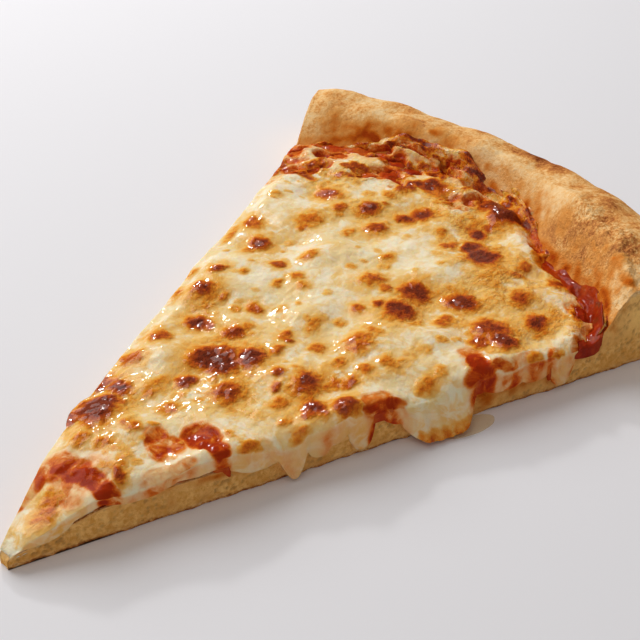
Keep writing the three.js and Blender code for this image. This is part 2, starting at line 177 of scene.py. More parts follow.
# Browned blisters of the cheese: centre, length, width, degrees, and how far each one is baked.
BLISTERS = (
    (41.6, 12.3, 10, 8, 20, 1), (36.2, 14.6, 6, 3, 15, 0.75), (48.6, 19.8, 8, 3.5, 20, 0.7),
    (50.4, 15.4, 5, 6, 0, 0.9), (59.4, 21.4, 5, 5.5, 60, 0.65), (69.5, 22.5, 6, 6, 0, 0.7),
    (61.7, 5.1, 5, 4.5, 0, 0.95), (70.8, 7.6, 9, 9, 0, 0.9), (72.4, 3.8, 11, 8, 30, 1),
    (77.6, -0.4, 7.5, 7.5, 0, 1), (64.8, -5.6, 8, 7, 20, 0.8), (70, -16.6, 5, 4.5, 0, 0.5),
    (52.4, 0.5, 5, 5, 30, 0.55), (42.1, 1.8, 4, 6, 0, 0.5), (34.6, 2.2, 5, 4, 0, 0.5),
    (30.3, -8.2, 5, 2.4, 50, 0.8), (31.6, 6.5, 5, 3, 0, 0.4), (56.1, 8.6, 10, 5, 0, 0.35),
    (16.4, -1.1, 9, 5.5, 30, 0.4), (55.4, -22.2, 6, 4, -20, 0.5), (66.2, -26.6, 5, 3, -20, 0.4),
    (71.1, -24.6, 4, 3, -20, 0.5), (80.9, 17.5, 4, 4, 0, 0.75), (80.1, 20.8, 6, 6, 0, 0.95),
    (83.2, 10.6, 5.5, 5, 0, 0.78), (86.6, 9.9, 3, 3, 0, 0.45), (94, 13.7, 4, 4.5, 0, 0.62),
    (90.4, 0, 5, 3.5, 20, 0.6), (89.1, -2.1, 2.5, 2, 0, 0.8), (84.4, -2.6, 5.5, 3, 0, 0.55),
    (97.8, -2.4, 7, 3.5, 10, 0.42), (92, -8.6, 4.5, 4.5, 0, 0.62), (103.7, -5.7, 3, 3, 0, 0.4),
    (77.5, -9.5, 4, 3.5, 0, 0.75), (73.3, -12.4, 3.2, 3, 0, 0.7), (79.5, -16.8, 8, 6, 30, 0.85),
    (83.2, -21, 5, 4, 0, 0.5), (73.8, -24.3, 5, 7.5, -10, 0.82), (86.2, -23.5, 5.5, 4, 0, 0.62),
    (78.9, -29.3, 6.5, 6, 30, 0.88), (92.5, -23.3, 4.5, 3.5, 0, 0.55), (97.8, -25.3, 4, 4.5, 0, 0.48),
    (90.7, -16.9, 4, 3.5, 0, 0.48), (99.5, -15.7, 11, 8, 0, 0.5), (105.6, -15.8, 3, 5, 0, 0.42),
    (110.4, -6.2, 4.2, 4, 0, 0.6), (115.1, -9.2, 3.5, 3.5, 0, 0.68), (116.3, -14.5, 9, 7, 20, 0.85),
    (114.9, -20.7, 5, 3.5, 0, 0.42), (126.1, -12, 7, 8.5, 0, 0.95), (122.5, -0.7, 7.5, 6.5, 0, 0.62),
    (122, -5.6, 4, 4, 0, 0.58), (121.3, -25, 6, 5, 0, 0.55), (130, -23.5, 6, 9, 10, 0.88),
    (113.3, -30.4, 3.5, 3, 0, 0.4), (110.2, 14.9, 4, 4.5, 60, 0.5), (108.5, 11.1, 3, 3.5, 0, 0.45),
    (105.1, 16.4, 3.5, 3, 0, 0.48), (123.8, 7.5, 3, 2.5, 0, 0.35), (129.9, 1.9, 3, 3, 0, 0.35),
    (98.7, -36.9, 6.5, 4.5, 0, 0.42), (103.8, -37, 4, 3.5, 30, 0.35), (119.6, -36.4, 5.5, 5, 0, 0.78),
    (125.3, -35.7, 8, 9, 20, 0.85), (122.7, -41.4, 4.5, 7, 0, 1), (123.5, -50.3, 4.5, 4, 0, 0.48),
    (127.6, -53.9, 4, 3.5, 0, 0.6), (113.9, -53.9, 3.5, 2, 0, 0.6), (66.5, -21.7, 4, 3, 0, 0.35),
    (90.4, 29.2, 6, 5, -20, 0.8), (86.7, 34, 6, 3, 20, 0.5), (92.3, 22.9, 3, 2.5, 0, 0.42),
    (90.7, 17.4, 3, 3, 0, 0.42), (98.9, 32.4, 5.5, 4, 0, 0.78), (103, 26.3, 3, 3, 0, 0.42),
    (111.8, 23.1, 4.2, 4, 0, 0.88), (119.7, 19.1, 5.5, 4, 0, 0.52), (116.6, 34, 6, 6, 0, 0.95),
    (112.7, 34.2, 4, 4, 0, 0.6), (123.1, 42.6, 6, 6.5, 0, 0.65), (115.9, 44.4, 10, 2.5, 22, 0.45),
    (95.1, 37.3, 4, 2, 20, 0.45), (130.5, 31, 4.5, 4, 0, 0.5), (134.2, 31.6, 9, 7.5, 0, 0.55),
    (136.9, 19.9, 5.5, 3.5, 0, 0.42), (149.2, 37.5, 6, 7.5, 0, 0.82), (145.2, 30, 4, 4, 0, 0.78),
    (142.3, 27.4, 3, 2.5, 0, 0.42), (150.1, 23.2, 6, 5.2, 0, 0.8), (154.8, 21.8, 2.5, 2.5, 0, 0.45),
    (143.8, 15.5, 6.5, 6, 0, 0.82), (154.1, 13.1, 5, 6, 0, 0.9), (158.4, 10.8, 7, 6.5, 0, 1),
    (166.1, 23.1, 6.5, 5, 20, 0.88), (159.3, 42.3, 3.5, 3, 0, 0.45), (134.1, 3.3, 5, 3.5, 0, 0.48),
    (154.1, 0.2, 3.5, 3.2, 0, 0.48), (159.6, 24.1, 4, 4, 0, 0.38), (171.8, 15.8, 8, 7, 0, 0.6),
    (150.2, -4.9, 5, 4, 0, 0.72), (152.9, -9.4, 7.5, 4, 0, 0.8), (150.7, -16.1, 8, 9, 0, 1),
    (160.9, -6.8, 4.2, 4, 0, 0.8), (187.6, 39.6, 7, 4.4, -75, 0.95), (190.4, 34, 8, 4, -78, 0.9),
    (186.6, 29, 5, 3.6, 0, 0.45), (187.4, 17, 6, 3.6, 86, 0.42), (185.6, 8.9, 5, 3.6, 0, 0.68),
    (165.2, -6.8, 3.2, 3, 0, 0.5), (172.8, -7.3, 11, 9, 0, 1.15), (174.9, -13.9, 4.5, 3.5, 0, 0.6),
    (154.3, -26.4, 4.5, 3.5, 20, 0.58), (149.3, -28.2, 3.2, 3, 0, 0.42), (140.3, -34.5, 7.5, 5, 20, 0.55),
    (153.7, -36.5, 4.5, 4, 0, 0.48), (135.5, -42.4, 6.8, 5.5, 20, 0.92), (145.5, -47.9, 7, 3, 35, 0.78),
)

# Toasted and pale places of the crust: centre, length, width, degrees, and how much darker (or,
# below nought, paler) they are.
CRUST_TONES = (
    (182.8, 50.1, 14, 7, -72, 0.36), (189.6, 39.5, 12, 6, -75, 0.34), (193, 34, 12, 5, -78, 0.3),
    (186, 30, 10, 5, -80, -0.25), (186.5, 21, 9, 5, -84, -0.25), (190, 27, 8, 5, 0, 0.26),
    (188, 8, 16, 7, 85, -0.22), (178.6, -17.6, 20, 8, 70, -0.25), (196, 5, 18, 7, 85, 0.26),
    (195.3, -6, 22, 8, 80, 0.36), (167.8, -33.9, 16, 8, 66, 0.2), (162.4, -44.1, 16, 9, 60, 0.16),
    (166, -36, 18, 9, 64, 0.16), (161, -49, 14, 11, 58, 0.16), (173, -22, 10, 7, 70, 0.16),
    (160.5, -51.6, 9, 7, 50, 0.2), (171.7, -25.5, 12, 6, 68, 0.2), (178, -36, 30, 12, 68, 0.2),
    (150, -58, 12, 8, 60, -0.2), (174, -8, 14, 8, 78, 0.25), (196, 60, 14, 10, -75, -0.1),
    (180.8, 62.3, 6, 5, 0, 0.3),
)
# Where oil and sauce have soaked in around the toppings: centre, length, width, degrees, strength.
OILY_PLACES = (
    (180.4, 64, 9, 9, -70, 0.9), (181, 55, 12, 8, -72, 0.85), (182.8, 50, 12, 10, -75, 1.1),
    (186, 44, 12, 9, -75, 0.9), (188, 38.6, 9, 5.4, -75, 0.95), (191.5, 31.5, 9, 5, -78, 0.85),
    (190.4, 24, 11, 6, -80, 0.7), (187.6, 15, 9, 6, 86, 0.7), (186, 9, 8, 5, 84, 0.85),
    (188, 37, 14, 6, -78, 0.5), (188.5, 27, 10, 6, -84, 0.5), (188, 14, 12, 5, 85, 0.4),
    (186, 3, 12, 6, 82, 0.36), (178.4, -12.4, 13, 8, 76, 0.7), (174.2, -18, 10, 6, 70, 0.5),
    (183, 53, 10, 6, -72, 0.8), (184, -3, 9, 5, 82, 0.5), (172, -26, 12, 6, 66, 0.5),
    (166.4, -34, 12, 6, 62, 0.5), (161.4, -42.6, 12, 6, 56, 0.6), (156, -51.4, 10, 6, 52, 0.8),
    (151, -57.6, 9, 6, 50, 0.85),
)
# Stains on the front cut: distance along it, height, length, height over which they spread, strength.
CUT_STAINS = (
    (30, 9, 12, 3, 0.35), (40, 8, 10, 5, 0.5), (40.5, 3, 3.4, 8, 0.4), (50, 7.4, 18, 4, 0.75),
    (49, 3.4, 5, 4, 0.4), (61, 7, 9, 4, 0.4), (77, 7, 14, 5, 0.6), (92, 9, 18, 3.4, 0.75),
    (117, 6.5, 22, 8, 0.8), (120, 3.6, 15, 6, 0.85), (128, 4.5, 20, 6, 0.7), (138, 5, 12, 7, 0.75),
    (148, 9, 14, 7, 0.8), (155, 14, 10, 10, 0.6), (158, 19, 9, 8, 0.4), (71, 3, 9, 6, 0.35),
)


# ---- Small helpers on whole arrays ----
def mix(a, b, share):
    return a + (b - a) * share


def smooth(share):
    share = np.clip(share, 0, 1)
    return share * share * (3 - 2 * share)


def rising(value, start, over):
    """0 up to the start, 1 from `over` past it."""
    return smooth((value - start) / over)


def falling(value, end, over):
    """1 up to `over` before the end, 0 from the end on."""
    return smooth((end - value) / over)


def half_wave(share):
    return (1 - np.cos(np.pi * share)) / 2


def through(stops, position):
    """A smooth line through (position, value) stops."""
    at, value = np.array(stops, float).T
    i = np.searchsorted(at[1:-1], position, side="left")
    before = np.maximum(i - 1, 0)
    after = np.minimum(i + 2, len(at) - 1)
    span = at[i + 1] - at[i]
    share = np.clip((position - at[i]) / span, 0, 1)
    slope_from = (value[i + 1] - value[before]) / (at[i + 1] - at[before]) * span
    slope_to = (value[after] - value[i]) / (at[after] - at[i]) * span
    square, cube = share ** 2, share ** 3
    start = (2 * cube - 3 * square + 1) * value[i] + (cube - 2 * square + share) * slope_from
    return start + (3 * square - 2 * cube) * value[i + 1] + (cube - square) * slope_to


def swell(x, y, waves):
    """Crossing waves: (height, length, start)."""
    height, length, start = waves
    total = 0
    for i, direction in enumerate(WAVE_DIRECTIONS):
        along = x * math.cos(direction + start) + y * math.sin(direction + start)
        turns = 2 * np.pi * along / (length * (1 + WAVE_STRETCH * i))
        total = total + np.sin(turns + start * (i + 1) * WAVE_PHASE)
    return height * total / WAVE_SUM


LATTICE = 64  # points along each side of a table of random slopes
NOISE_LEVEL = 1.7  # brings the peaks to about 1
OCTAVE_STEP = 2.1  # how much finer each next noise is
DOT_STRAY = 0.45  # how far a scattered dot lies from the middle of its cell


def random_lattice(seed):
    draw = np.random.default_rng(seed).normal(size=(LATTICE, LATTICE, LATTICE, 3)).astype(np.float32)
    return draw / np.linalg.norm(draw, axis=3, keepdims=True)


LATTICES = [random_lattice(seed) for seed in range(3)]


def turned(points, seed):
    """The points seen from another side, so that no two grounds line up."""
    angle = 0.7 + 1.3 * seed
    c, s = math.cos(angle), math.sin(angle)
    turn = np.array(((c, -s, 0), (s, c, 0), (0, 0, 1)))
    tilt = np.array(((1, 0, 0), (0, 0.8, -0.6), (0, 0.6, 0.8)))
    return points @ (turn @ tilt).T + 17.3 * seed


def noise(points, size, seed=0):
    """Soft random ground between about -1 and 1; `size` is from hump to hump."""
    table = LATTICES[seed % len(LATTICES)]
    spot = turned(points, seed) / size
    cell = np.floor(spot).astype(int)
    inside = spot - cell
    fade = inside ** 3 * (inside * (6 * inside - 15) + 10)
    total = np.zeros(len(points))
    for corner in np.ndindex(2, 2, 2):
        place = (cell + corner) % LATTICE
        slope = table[place[:, 0], place[:, 1], place[:, 2]]
        weight = np.prod(np.where(corner, fade, 1 - fade), axis=1)
        total += weight * np.sum(slope * (inside - corner), axis=1)
    return NOISE_LEVEL * total


def rough(points, size, seed=0, octaves=3, keep=0.5):
    """Noise with finer and weaker noise on it."""
    return sum(keep ** k * noise(points, size / OCTAVE_STEP ** k, seed + k) for k in range(octaves))


def nearest_cell(points, size, seed=0):
    """How far the nearest of a field of scattered dots is, in units of their spacing."""
    table = LATTICES[seed % len(LATTICES)]
    spot = turned(points, seed) / size
    cell = np.floor(spot).astype(int)
    inside = spot - cell
    nearest = np.full(len(points), 9.0)
    for corner in np.ndindex(3, 3, 3):
        step = np.array(corner) - 1
        place = (cell + step) % LATTICE
        dot = step + 0.5 + DOT_STRAY * table[place[:, 0], place[:, 1], place[:, 2]]
        nearest = np.minimum(nearest, np.linalg.norm(dot - inside, axis=1))
    return nearest


def stacked(x, y, z=0.0):
    return np.stack(np.broadcast_arrays(x, y, z), axis=1).astype(float)


# ---- The slice's own frame: r from the cuts' meeting point, angle in degrees from the middle ----
SIN_HALF = math.sin(math.radians(HALF_WEDGE))
COS_HALF = math.cos(math.radians(HALF_WEDGE))
FRONT_NORMAL = (-SIN_HALF, -COS_HALF)
BACK_NORMAL = (-SIN_HALF, COS_HALF)


def plan(r, angle):
    """A place's x and y, with the waver of the back cut."""
    turn = np.radians(angle)
    waver = smooth(angle / HALF_WEDGE) * through(BACK_CUT_WAVER, r)
    return r * np.cos(turn) + BACK_NORMAL[0] * waver, r * np.sin(turn) + BACK_NORMAL[1] * waver


def push(points, normal, distance):
    """Moves points sideways along a cut's normal."""
    points[:, 0] += normal[0] * distance
    points[:, 1] += normal[1] * distance


def along_cut(r, size, seed):
    """Noise that changes only along the cut."""
    return noise(stacked(r, 0 * r), size, seed)


def to_cut(r, angle):
    """Distance to the back cut; with the angle turned round, to the front cut."""
    return r * np.sin(np.radians(HALF_WEDGE - angle))


# ---- Heights of the layers ----
def slab_top(r, angle):
    x, y = plan(r, angle)
    taper = mix(TIP_SHARE, 1, rising(r, TIP_RADIUS, TIP_TAPER))
    return (SLAB + swell(x, y, SLAB_WAVES)) * taper


def crust_relief(r, angle):
    x, y = plan(r, angle)
    relief = swell(x, y, CRUST_WAVES)
    for distance, turn, width, height in CRUST_BUBBLES:
        centre_x, centre_y = plan(np.array(distance, float), np.array(turn, float))
        away = np.hypot(x - centre_x, y - centre_y) / (width / 2)
        relief = relief + height * np.exp(-away ** 2)
    return relief - PINCH * (1 - smooth(to_cut(r, np.abs(angle)) / PINCH_REACH))


def climb(r, angle):
    foot = through(CRUST_FOOT, angle)
    return rising(r, foot, through(CRUST_CREST, angle) - foot)


def crust_roll(r, angle):
    outer = through(CRUST_OUTER, angle)
    flat_end = mix(through(CRUST_CREST, angle), outer, FLAT_SHARE)
    return np.clip((r - flat_end) / (outer - flat_end), 0, 1)


def dough_top(r, angle):
    height = through(CRUST_HEIGHT, angle) + crust_relief(r, angle)
    over = mix(slab_top(r, angle), height, climb(r, angle))
    middle = EQUATOR + EQUATOR_BAND / 2
    return middle + (over - middle) * np.sqrt(1 - crust_roll(r, angle) ** 2)


def dough_bottom(r, angle):
    roll = np.clip((r - through(CRUST_OUTER, angle) + UNDER_ROLL) / UNDER_ROLL, 0, 1)
    return (EQUATOR - EQUATOR_BAND / 2) * (1 - np.sqrt(1 - roll ** 2))


def sauce_level(r, angle):
    """The sauce's upper face before its own lumps."""
    x, y = plan(r, angle)
    lower = dough_top(r, angle) + GAP * (1 + 2 * climb(r, angle))
    return lower + SAUCE_THICKNESS * (1 + swell(x, y, SAUCE_WAVES))


# ---- Marks on the surfaces ----
def spot_distance(x, y, centre_x, centre_y, length, width, degrees):
    """Distance from an oval's centre, 1 on its edge."""
    turn = math.radians(degrees)
    along = (x - centre_x) * math.cos(turn) + (y - centre_y) * math.sin(turn)
    across = (y - centre_y) * math.cos(turn) - (x - centre_x) * math.sin(turn)
    return np.hypot(along / (length / 2), across / (width / 2))


WANDER_COARSE = 4.6
WANDER_FINE = 1.9
WANDER_FINE_SHARE = 0.4


def wandered(x, y, seed, reach, z=0.0):
    """The plan with its outlines made to wander, as baked edges do."""
    place = stacked(x, y, z)

    def shift(first):
        coarse = noise(place, WANDER_COARSE, first)
        return reach * (coarse + WANDER_FINE_SHARE * noise(place, WANDER_FINE, first + 1))

    return x + shift(seed + 1), y + shift(seed + 3)


SMALL_COUNT = 130
SMALL_FIELD = 168  # how far out they lie
SMALL_TURN = 21  # and how far to each side of the middle, in degrees
SMALL_SIZES = (1.6, 4.2)
SMALL_HEATS = (0.1, 0.3)


def small_blisters():
    """Small blisters between the large ones, drawn with a seed of their own."""
    draw = np.random.default_rng(11)
    blisters = []
    for _ in range(SMALL_COUNT):
        r = SMALL_FIELD * math.sqrt(draw.uniform(0.03, 1))
        angle = draw.uniform(-SMALL_TURN, SMALL_TURN)
        size = draw.uniform(*SMALL_SIZES)
        heat = draw.uniform(*SMALL_HEATS)
        x = r * math.cos(math.radians(angle))
        y = r * math.sin(math.radians(angle))
        blisters.append((x, y, size, size * draw.uniform(0.6, 1), draw.uniform(0, 180), heat))
    return blisters


BLISTER_HEIGHT = 0.085  # share of its size
WRINKLES_FROM = 0.7  # how far a blister is baked before its skin wrinkles


def baked(x, y):
    """How browned the cheese is, how high its blisters stand, and where they are wrinkled."""
    warped_x, warped_y = wandered(x, y, 0, 0.75)
    browned = np.zeros(len(x))
    halo = np.zeros(len(x))
    dome = np.zeros(len(x))
    wrinkled = np.zeros(len(x))
    for centre_x, centre_y, length, width, degrees, heat in (*BLISTERS, *small_blisters()):
        near = np.abs(x - centre_x) + np.abs(y - centre_y) < 5 + 2.2 * length
        away = spot_distance(warped_x[near], warped_y[near], centre_x, centre_y, length, width, degrees)
        core = 1 - rising(away, 0.35, 1)
        rim = np.exp(-(away / 1.7) ** 2)
        browned[near] = np.maximum(browned[near], heat * (0.66 * core + 0.38 * rim))
        halo[near] += heat ** 1.3 * np.exp(-(away / 2) ** 2)
        size = math.sqrt(length * width)
        height = BLISTER_HEIGHT * size * heat * np.clip(1 - (away / 1.3) ** 2, 0, 1)
        dome[near] = np.maximum(dome[near], height)
        if heat > WRINKLES_FROM:
            wrinkled[near] = np.maximum(wrinkled[near], 1 - rising(away, 0.5, 0.6))
    return browned, np.clip(halo, 0, 1), dome, wrinkled


def strongest(x, y, places, profile, wider=0.0):
    """The strongest of several oval marks: (centre, length, width, degrees, strength)."""
    total = np.zeros(len(x))
    for centre_x, centre_y, length, width, degrees, strength in places:
        away = spot_distance(x, y, centre_x, centre_y, length + wider, width + wider, degrees)
        total = np.maximum(total, strength * profile(away))
    return total


# How a mark fades with the distance from its middle, where 1 is its edge.
def closed_spot(away):
    return 1 - rising(away, 0.5, 0.85)


def soft_spot(away):
    return np.exp(-away ** 2)


def stain_spot(away):
    return np.exp(-(away / 0.95) ** 2)


def faint_ring(away):
    return 0.5 * np.exp(-(away / 1.2) ** 2)


def golden(x, y):
    """How far the thin golden places are baked."""
    flat = stacked(x, y)
    mottled = noise(flat, 6, 20) + 0.6 * noise(flat, 2.8, 21)
    return strongest(x, y, GOLDEN_PLACES, soft_spot) * np.clip(0.62 + 0.9 * mottled, 0, 1.4)


def steepness(r, angle):
    """Millimetres along the surface for each millimetre of plan, going up the crust."""
    return np.hypot(1, (dough_top(r + 1, angle) - dough_top(r - 1, angle)) / 2)


RISE_STRETCH = 1.2  # how much the crust's height counts beside its plan


def sloping(r, angle, x, y):
    """The plan with the crust's height, so that what is uneven there isn't drawn out down the slope."""
    return stacked(x, y, RISE_STRETCH * dough_top(r, angle) * smooth(2 * climb(r, angle)))


def cheese_inside(r, angle, x, y):
    """Millimetres of cheese between a place and the ragged end near the crust."""
    flat = sloping(r, angle, x, y)
    steep = steepness(r, angle)
    ragged = (3 * noise(flat, 8, 7) + 1.8 * noise(flat, 3.2, 4)) / steep
    inside = through(CHEESE_EDGE, angle) - r + ragged
    inside = np.maximum(inside, r - through(OUTER_BITS, angle) - 0.6 + 0.6 * ragged)
    warped_x, warped_y = wandered(x, y, 5, 0.9 / steep)
    for centre_x, centre_y, length, width, degrees in CHEESE_ISLANDS:
        away = spot_distance(warped_x, warped_y, centre_x, centre_y, length, width, degrees)
        inside = np.maximum(inside, (1.1 - away) * math.sqrt(length * width) / 2)
    return inside


def saucy(r, angle, x, y):
    """0 where cheese hides the sauce, about 0.5 where it shows through, 1 where it lies open."""
    flat = sloping(r, angle, x, y)
    warped_x, warped_y = wandered(x, y, 5, 0.8 / steepness(r, angle))
    patches = strongest(warped_x, warped_y, SAUCY_PLACES, closed_spot)
    end = 1 - rising(cheese_inside(r, angle, x, y), -1.2, 8)
    end = end * (0.52 + 0.7 * np.clip(noise(flat, 7.5, 12) + 0.5 * noise(flat, 3, 13), -0.7, 0.8))
    return np.clip(np.maximum(patches, end), 0, 1)


OPEN_FROM = -14  # from this far before the cheese's edge on it may open
SHOWS_AT_MOST = 0.8  # of the sauce elsewhere


def holes(show, r, angle):
    """saucy() as far as the cheese really opens: near the crust; elsewhere it only gets thin."""
    near_crust = rising(r - through(CHEESE_EDGE, angle), OPEN_FROM, 6)
    return mix(np.minimum(show, SHOWS_AT_MOST), show, near_crust)


# ---- Making a mesh ----
def block(rows, columns):
    """A closed unit block whose top and bottom are grids: X from tip to crust, Y to the back cut."""
    bm = bmesh.new()
    bmesh.ops.create_grid(bm, x_segments=rows, y_segments=columns, size=0.5)
    bmesh.ops.translate(bm, verts=bm.verts, vec=(0.5, 0.5, 0))
    top = bmesh.ops.extrude_face_region(bm, geom=bm.faces[:])["geom"]
    raised = [item for item in top if isinstance(item, bmesh.types.BMVert)]
    bmesh.ops.translate(bm, verts=raised, vec=(0, 0, 1))
    return bm


def cut_edges(bm, wanted, cuts):
    edges = [edge for edge in bm.edges if wanted(edge.verts[0].co, edge.verts[1].co)]
    bmesh.ops.subdivide_edges(bm, edges=edges, cuts=cuts, use_grid_fill=True)


NEAR = 1e-5  # what counts as the same place on a unit block


def stands(a, b):
    return abs(a.z - b.z) > 0.5


def on_top(a, b):
    return a.z > 1 - NEAR and b.z > 1 - NEAR


def mesh_from(name, bm):
    mesh = bpy.data.meshes.new(name)
    bm.to_mesh(mesh)
    bm.free()
    return mesh


def corners_of(mesh):
    corners = np.empty(3 * len(mesh.vertices))
    mesh.vertices.foreach_get("co", corners)
    return corners.reshape(-1, 3)


def move_corners(mesh, points):
    """Puts a mesh's corners at these places, given in millimetres, and shades it smooth."""
    mesh.vertices.foreach_set("co", (points * MM).ravel())
    mesh.shade_smooth()
    mesh.update()


def put_in_scene(name, data):
    made = bpy.data.objects.new(name, data)
    bpy.context.scene.collection.objects.link(made)
    return made


def piece_from(name, bm, place, material, node):
    """Lays a unit block out as a piece. place() gives every corner's millimetres and its marks."""
    bmesh.ops.recalc_face_normals(bm, faces=bm.faces)
    mesh = mesh_from(name, bm)
    outward, to_back, up = corners_of(mesh).T
    points, marks = place(outward, 1 - to_back, up)
    points[:, 0] -= APEX_TO_ORIGIN
    for mark_name, values in marks.items():
        layer = mesh.attributes.new(mark_name, "FLOAT", "POINT")
        layer.data.foreach_set("value", values.astype(np.float32))
    move_corners(mesh, points)
    mesh.materials.append(material)
    piece = put_in_scene(name, mesh)
    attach(piece, "root")
    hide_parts(node)
    return piece


# ---- Shader helpers ----
def add(tree, kind, inputs=None, **settings):
    """A new node. Each of its inputs gets a value or a link."""
    made = tree.nodes.new(kind)
    for name, value in settings.items():
        setattr(made, name, value)
    for name, value in (inputs or {}).items():
        socket = made.inputs[name]
        if isinstance(value, bpy.types.NodeSocket):
            tree.links.new(value, socket)
        else:
            socket.default_value = value
    return made


def worked_out(tree, operation, a, b, clamp=False):
    made = add(tree, "ShaderNodeMath", {0: a, 1: b}, operation=operation, use_clamp=clamp)
    return made.outputs[0]


def plus(tree, a, b):
    return worked_out(tree, "ADD", a, b)


def times(tree, a, b, clamp=False):
    return worked_out(tree, "MULTIPLY", a, b, clamp)


def less(tree, a, b):
    return worked_out(tree, "SUBTRACT", a, b)


def between(tree, value, low, high, to_low=0.0, to_high=1.0):
    """value from low..high to to_low..to_high, eased and held at both ends."""
    sockets = {"Value": value, "From Min": low, "From Max": high, "To Min": to_low, "To Max": to_high}
    return add(tree, "ShaderNodeMapRange", sockets, interpolation_type="SMOOTHSTEP").outputs[0]


def colour_mix(tree, share, a, b, kind="MIX"):
    made = add(tree, "ShaderNodeMix", data_type="RGBA", blend_type=kind)
    for socket, value in ((0, share), (6, a), (7, b)):
        if isinstance(value, bpy.types.NodeSocket):
            tree.links.new(value, made.inputs[socket])
        else:
            made.inputs[socket].default_value = value if socket == 0 else (*value, 1)
    return made.outputs[2]


def ramp(tree, value, stops):
    """The colour for a value, through (position, colour) stops."""
    made = add(tree, "ShaderNodeValToRGB", {0: value})
    line = made.color_ramp
    while len(line.elements) < len(stops):
        line.elements.new(0.5)
    for element, (position, colour) in zip(line.elements, stops):
        element.position = position
        element.color = (*colour, 1)
    return made.outputs[0]


def mark(tree, name):
    """One of the marks that the piece's corners carry."""
    return add(tree, "ShaderNodeAttribute", attribute_name=name).outputs["Fac"]


def height_up(tree):
    """Height above the base, in metres."""
    place = add(tree, "ShaderNodeTexCoord").outputs["Object"]
    return add(tree, "ShaderNodeSeparateXYZ", {0: place}).outputs["Z"]


def ground(tree, size, detail=3.0, rough_share=0.5, stretch=0.0):
    """Noise on the object's own coordinates, `size` millimetres from hump to hump."""
    sockets = {
        "Vector": add(tree, "ShaderNodeTexCoord").outputs["Object"],
        "Scale": 1 / (size * MM),
        "Detail": detail,
        "Roughness": rough_share,
        "Distortion": stretch,
    }
    return add(tree, "ShaderNodeTexNoise", sockets).outputs[0]


def humps(tree, size, detail, rough_share, stretch=0.0):
    """The same noise, above and below nought."""
    return less(tree, ground(tree, size, detail, rough_share, stretch), 0.5)


def new_group(name, inputs, outputs):
    """An empty shader group with (socket kind, name, value) inputs and (kind, name) outputs."""
    tree = bpy.data.node_groups.new(name, "ShaderNodeTree")
    for kind, socket_name, value in inputs:
        socket = tree.interface.new_socket(socket_name, in_out="INPUT", socket_type=kind)
        socket.default_value = value
    for kind, socket_name in outputs:
        tree.interface.new_socket(socket_name, in_out="OUTPUT", socket_type=kind)
    return tree, add(tree, "NodeGroupInput").outputs, add(tree, "NodeGroupOutput").inputs


FLOAT = "NodeSocketFloat"


def make_fine_ground():
    """Two grains of unevenness as a height, both sizes given in grains for each metre."""
    inputs = ((FLOAT, "Coarse", 500.0), (FLOAT, "Fine", 2000.0), (FLOAT, "Fine share", 0.5))
    tree, given, result = new_group("fine_ground", inputs, ((FLOAT, "Height"),))
    place = add(tree, "ShaderNodeTexCoord").outputs["Object"]
    coarse = add(tree, "ShaderNodeTexNoise", {"Vector": place, "Scale": given["Coarse"], "Detail": 2.0})
    fine = add(tree, "ShaderNodeTexNoise", {"Vector": place, "Scale": given["Fine"], "Detail": 2.0})
    small = times(tree, fine.outputs[0], given["Fine share"])
    tree.links.new(plus(tree, coarse.outputs[0], small), result["Height"])
    return tree


SPECK_EDGE = 6  # how sharply a speck ends


def make_specks():
    """Scattered specks: 1 in a speck, 0 between them."""
    inputs = ((FLOAT, "Scale", 700.0), (FLOAT, "Size", 0.3))
    tree, given, result = new_group("specks", inputs, ((FLOAT, "Speck"),))
    place = add(tree, "ShaderNodeTexCoord").outputs["Object"]
    cells = add(tree, "ShaderNodeTexVoronoi", {"Vector": place, "Scale": given["Scale"]})
    edge = less(tree, given["Size"], cells.outputs["Distance"])
    tree.links.new(times(tree, edge, SPECK_EDGE, clamp=True), result["Speck"])
    return tree


FINE_GROUND = make_fine_ground()
SPECKS = make_specks()


def grouped(tree, group, inputs):
    made = tree.nodes.new("ShaderNodeGroup")
    made.node_tree = group
    for name, value in inputs.items():
        made.inputs[name].default_value = value
    return made.outputs[0]


def fine_ground(tree, coarse, fine):
    """Two grains as a height, given by their sizes in millimetres."""
    return grouped(tree, FINE_GROUND, {"Coarse": 1 / (coarse * MM), "Fine": 1 / (fine * MM)})


def new_material(name, **sockets):
    """A material, its nodes and its shader, whose sockets are given with _ for a space."""
    material = bpy.data.materials.new(name)
    material.use_nodes = True
    tree = material.node_tree
    shader = tree.nodes["Principled BSDF"]
    for socket, value in sockets.items():
        shader.inputs[socket.replace("_", " ")].default_value = value
    return material, tree, shader


def bumped(tree, shader, height, distance):
    bump = add(tree, "ShaderNodeBump", {"Height": height, "Distance": distance * MM, "Strength": 1.0})
    tree.links.new(bump.outputs[0], shader.inputs["Normal"])


# ---- Colours ----
WHITE = (0.92, 0.82, 0.60)
CREAM = (0.89, 0.69, 0.36)
BUTTER = (0.87, 0.54, 0.15)
BROWNING = (
    (0.0, (0.87, 0.61, 0.25)), (0.18, (0.85, 0.47, 0.115)), (0.34, (0.79, 0.31, 0.030)),
    (0.5, (0.70, 0.195, 0.010)), (0.66, (0.56, 0.11, 0.006)), (0.82, (0.43, 0.065, 0.005)),
    (0.94, (0.31, 0.042, 0.006)), (1.0, (0.21, 0.028, 0.006)),
)
SHOWING = (
    (0.0, (0.87, 0.66, 0.38)), (0.2, (0.85, 0.57, 0.31)), (0.38, (0.80, 0.38, 0.13)),
    (0.56, (0.70, 0.19, 0.022)), (0.75, (0.54, 0.078, 0.006)), (1.0, (0.36, 0.028, 0.003)),
)
SAUCE_RED = (
    (0.2, (0.19, 0.008, 0.001)), (0.45, (0.32, 0.018, 0.002)), (0.65, (0.46, 0.045, 0.004)),
    (0.85, (0.60, 0.12, 0.012)),
)
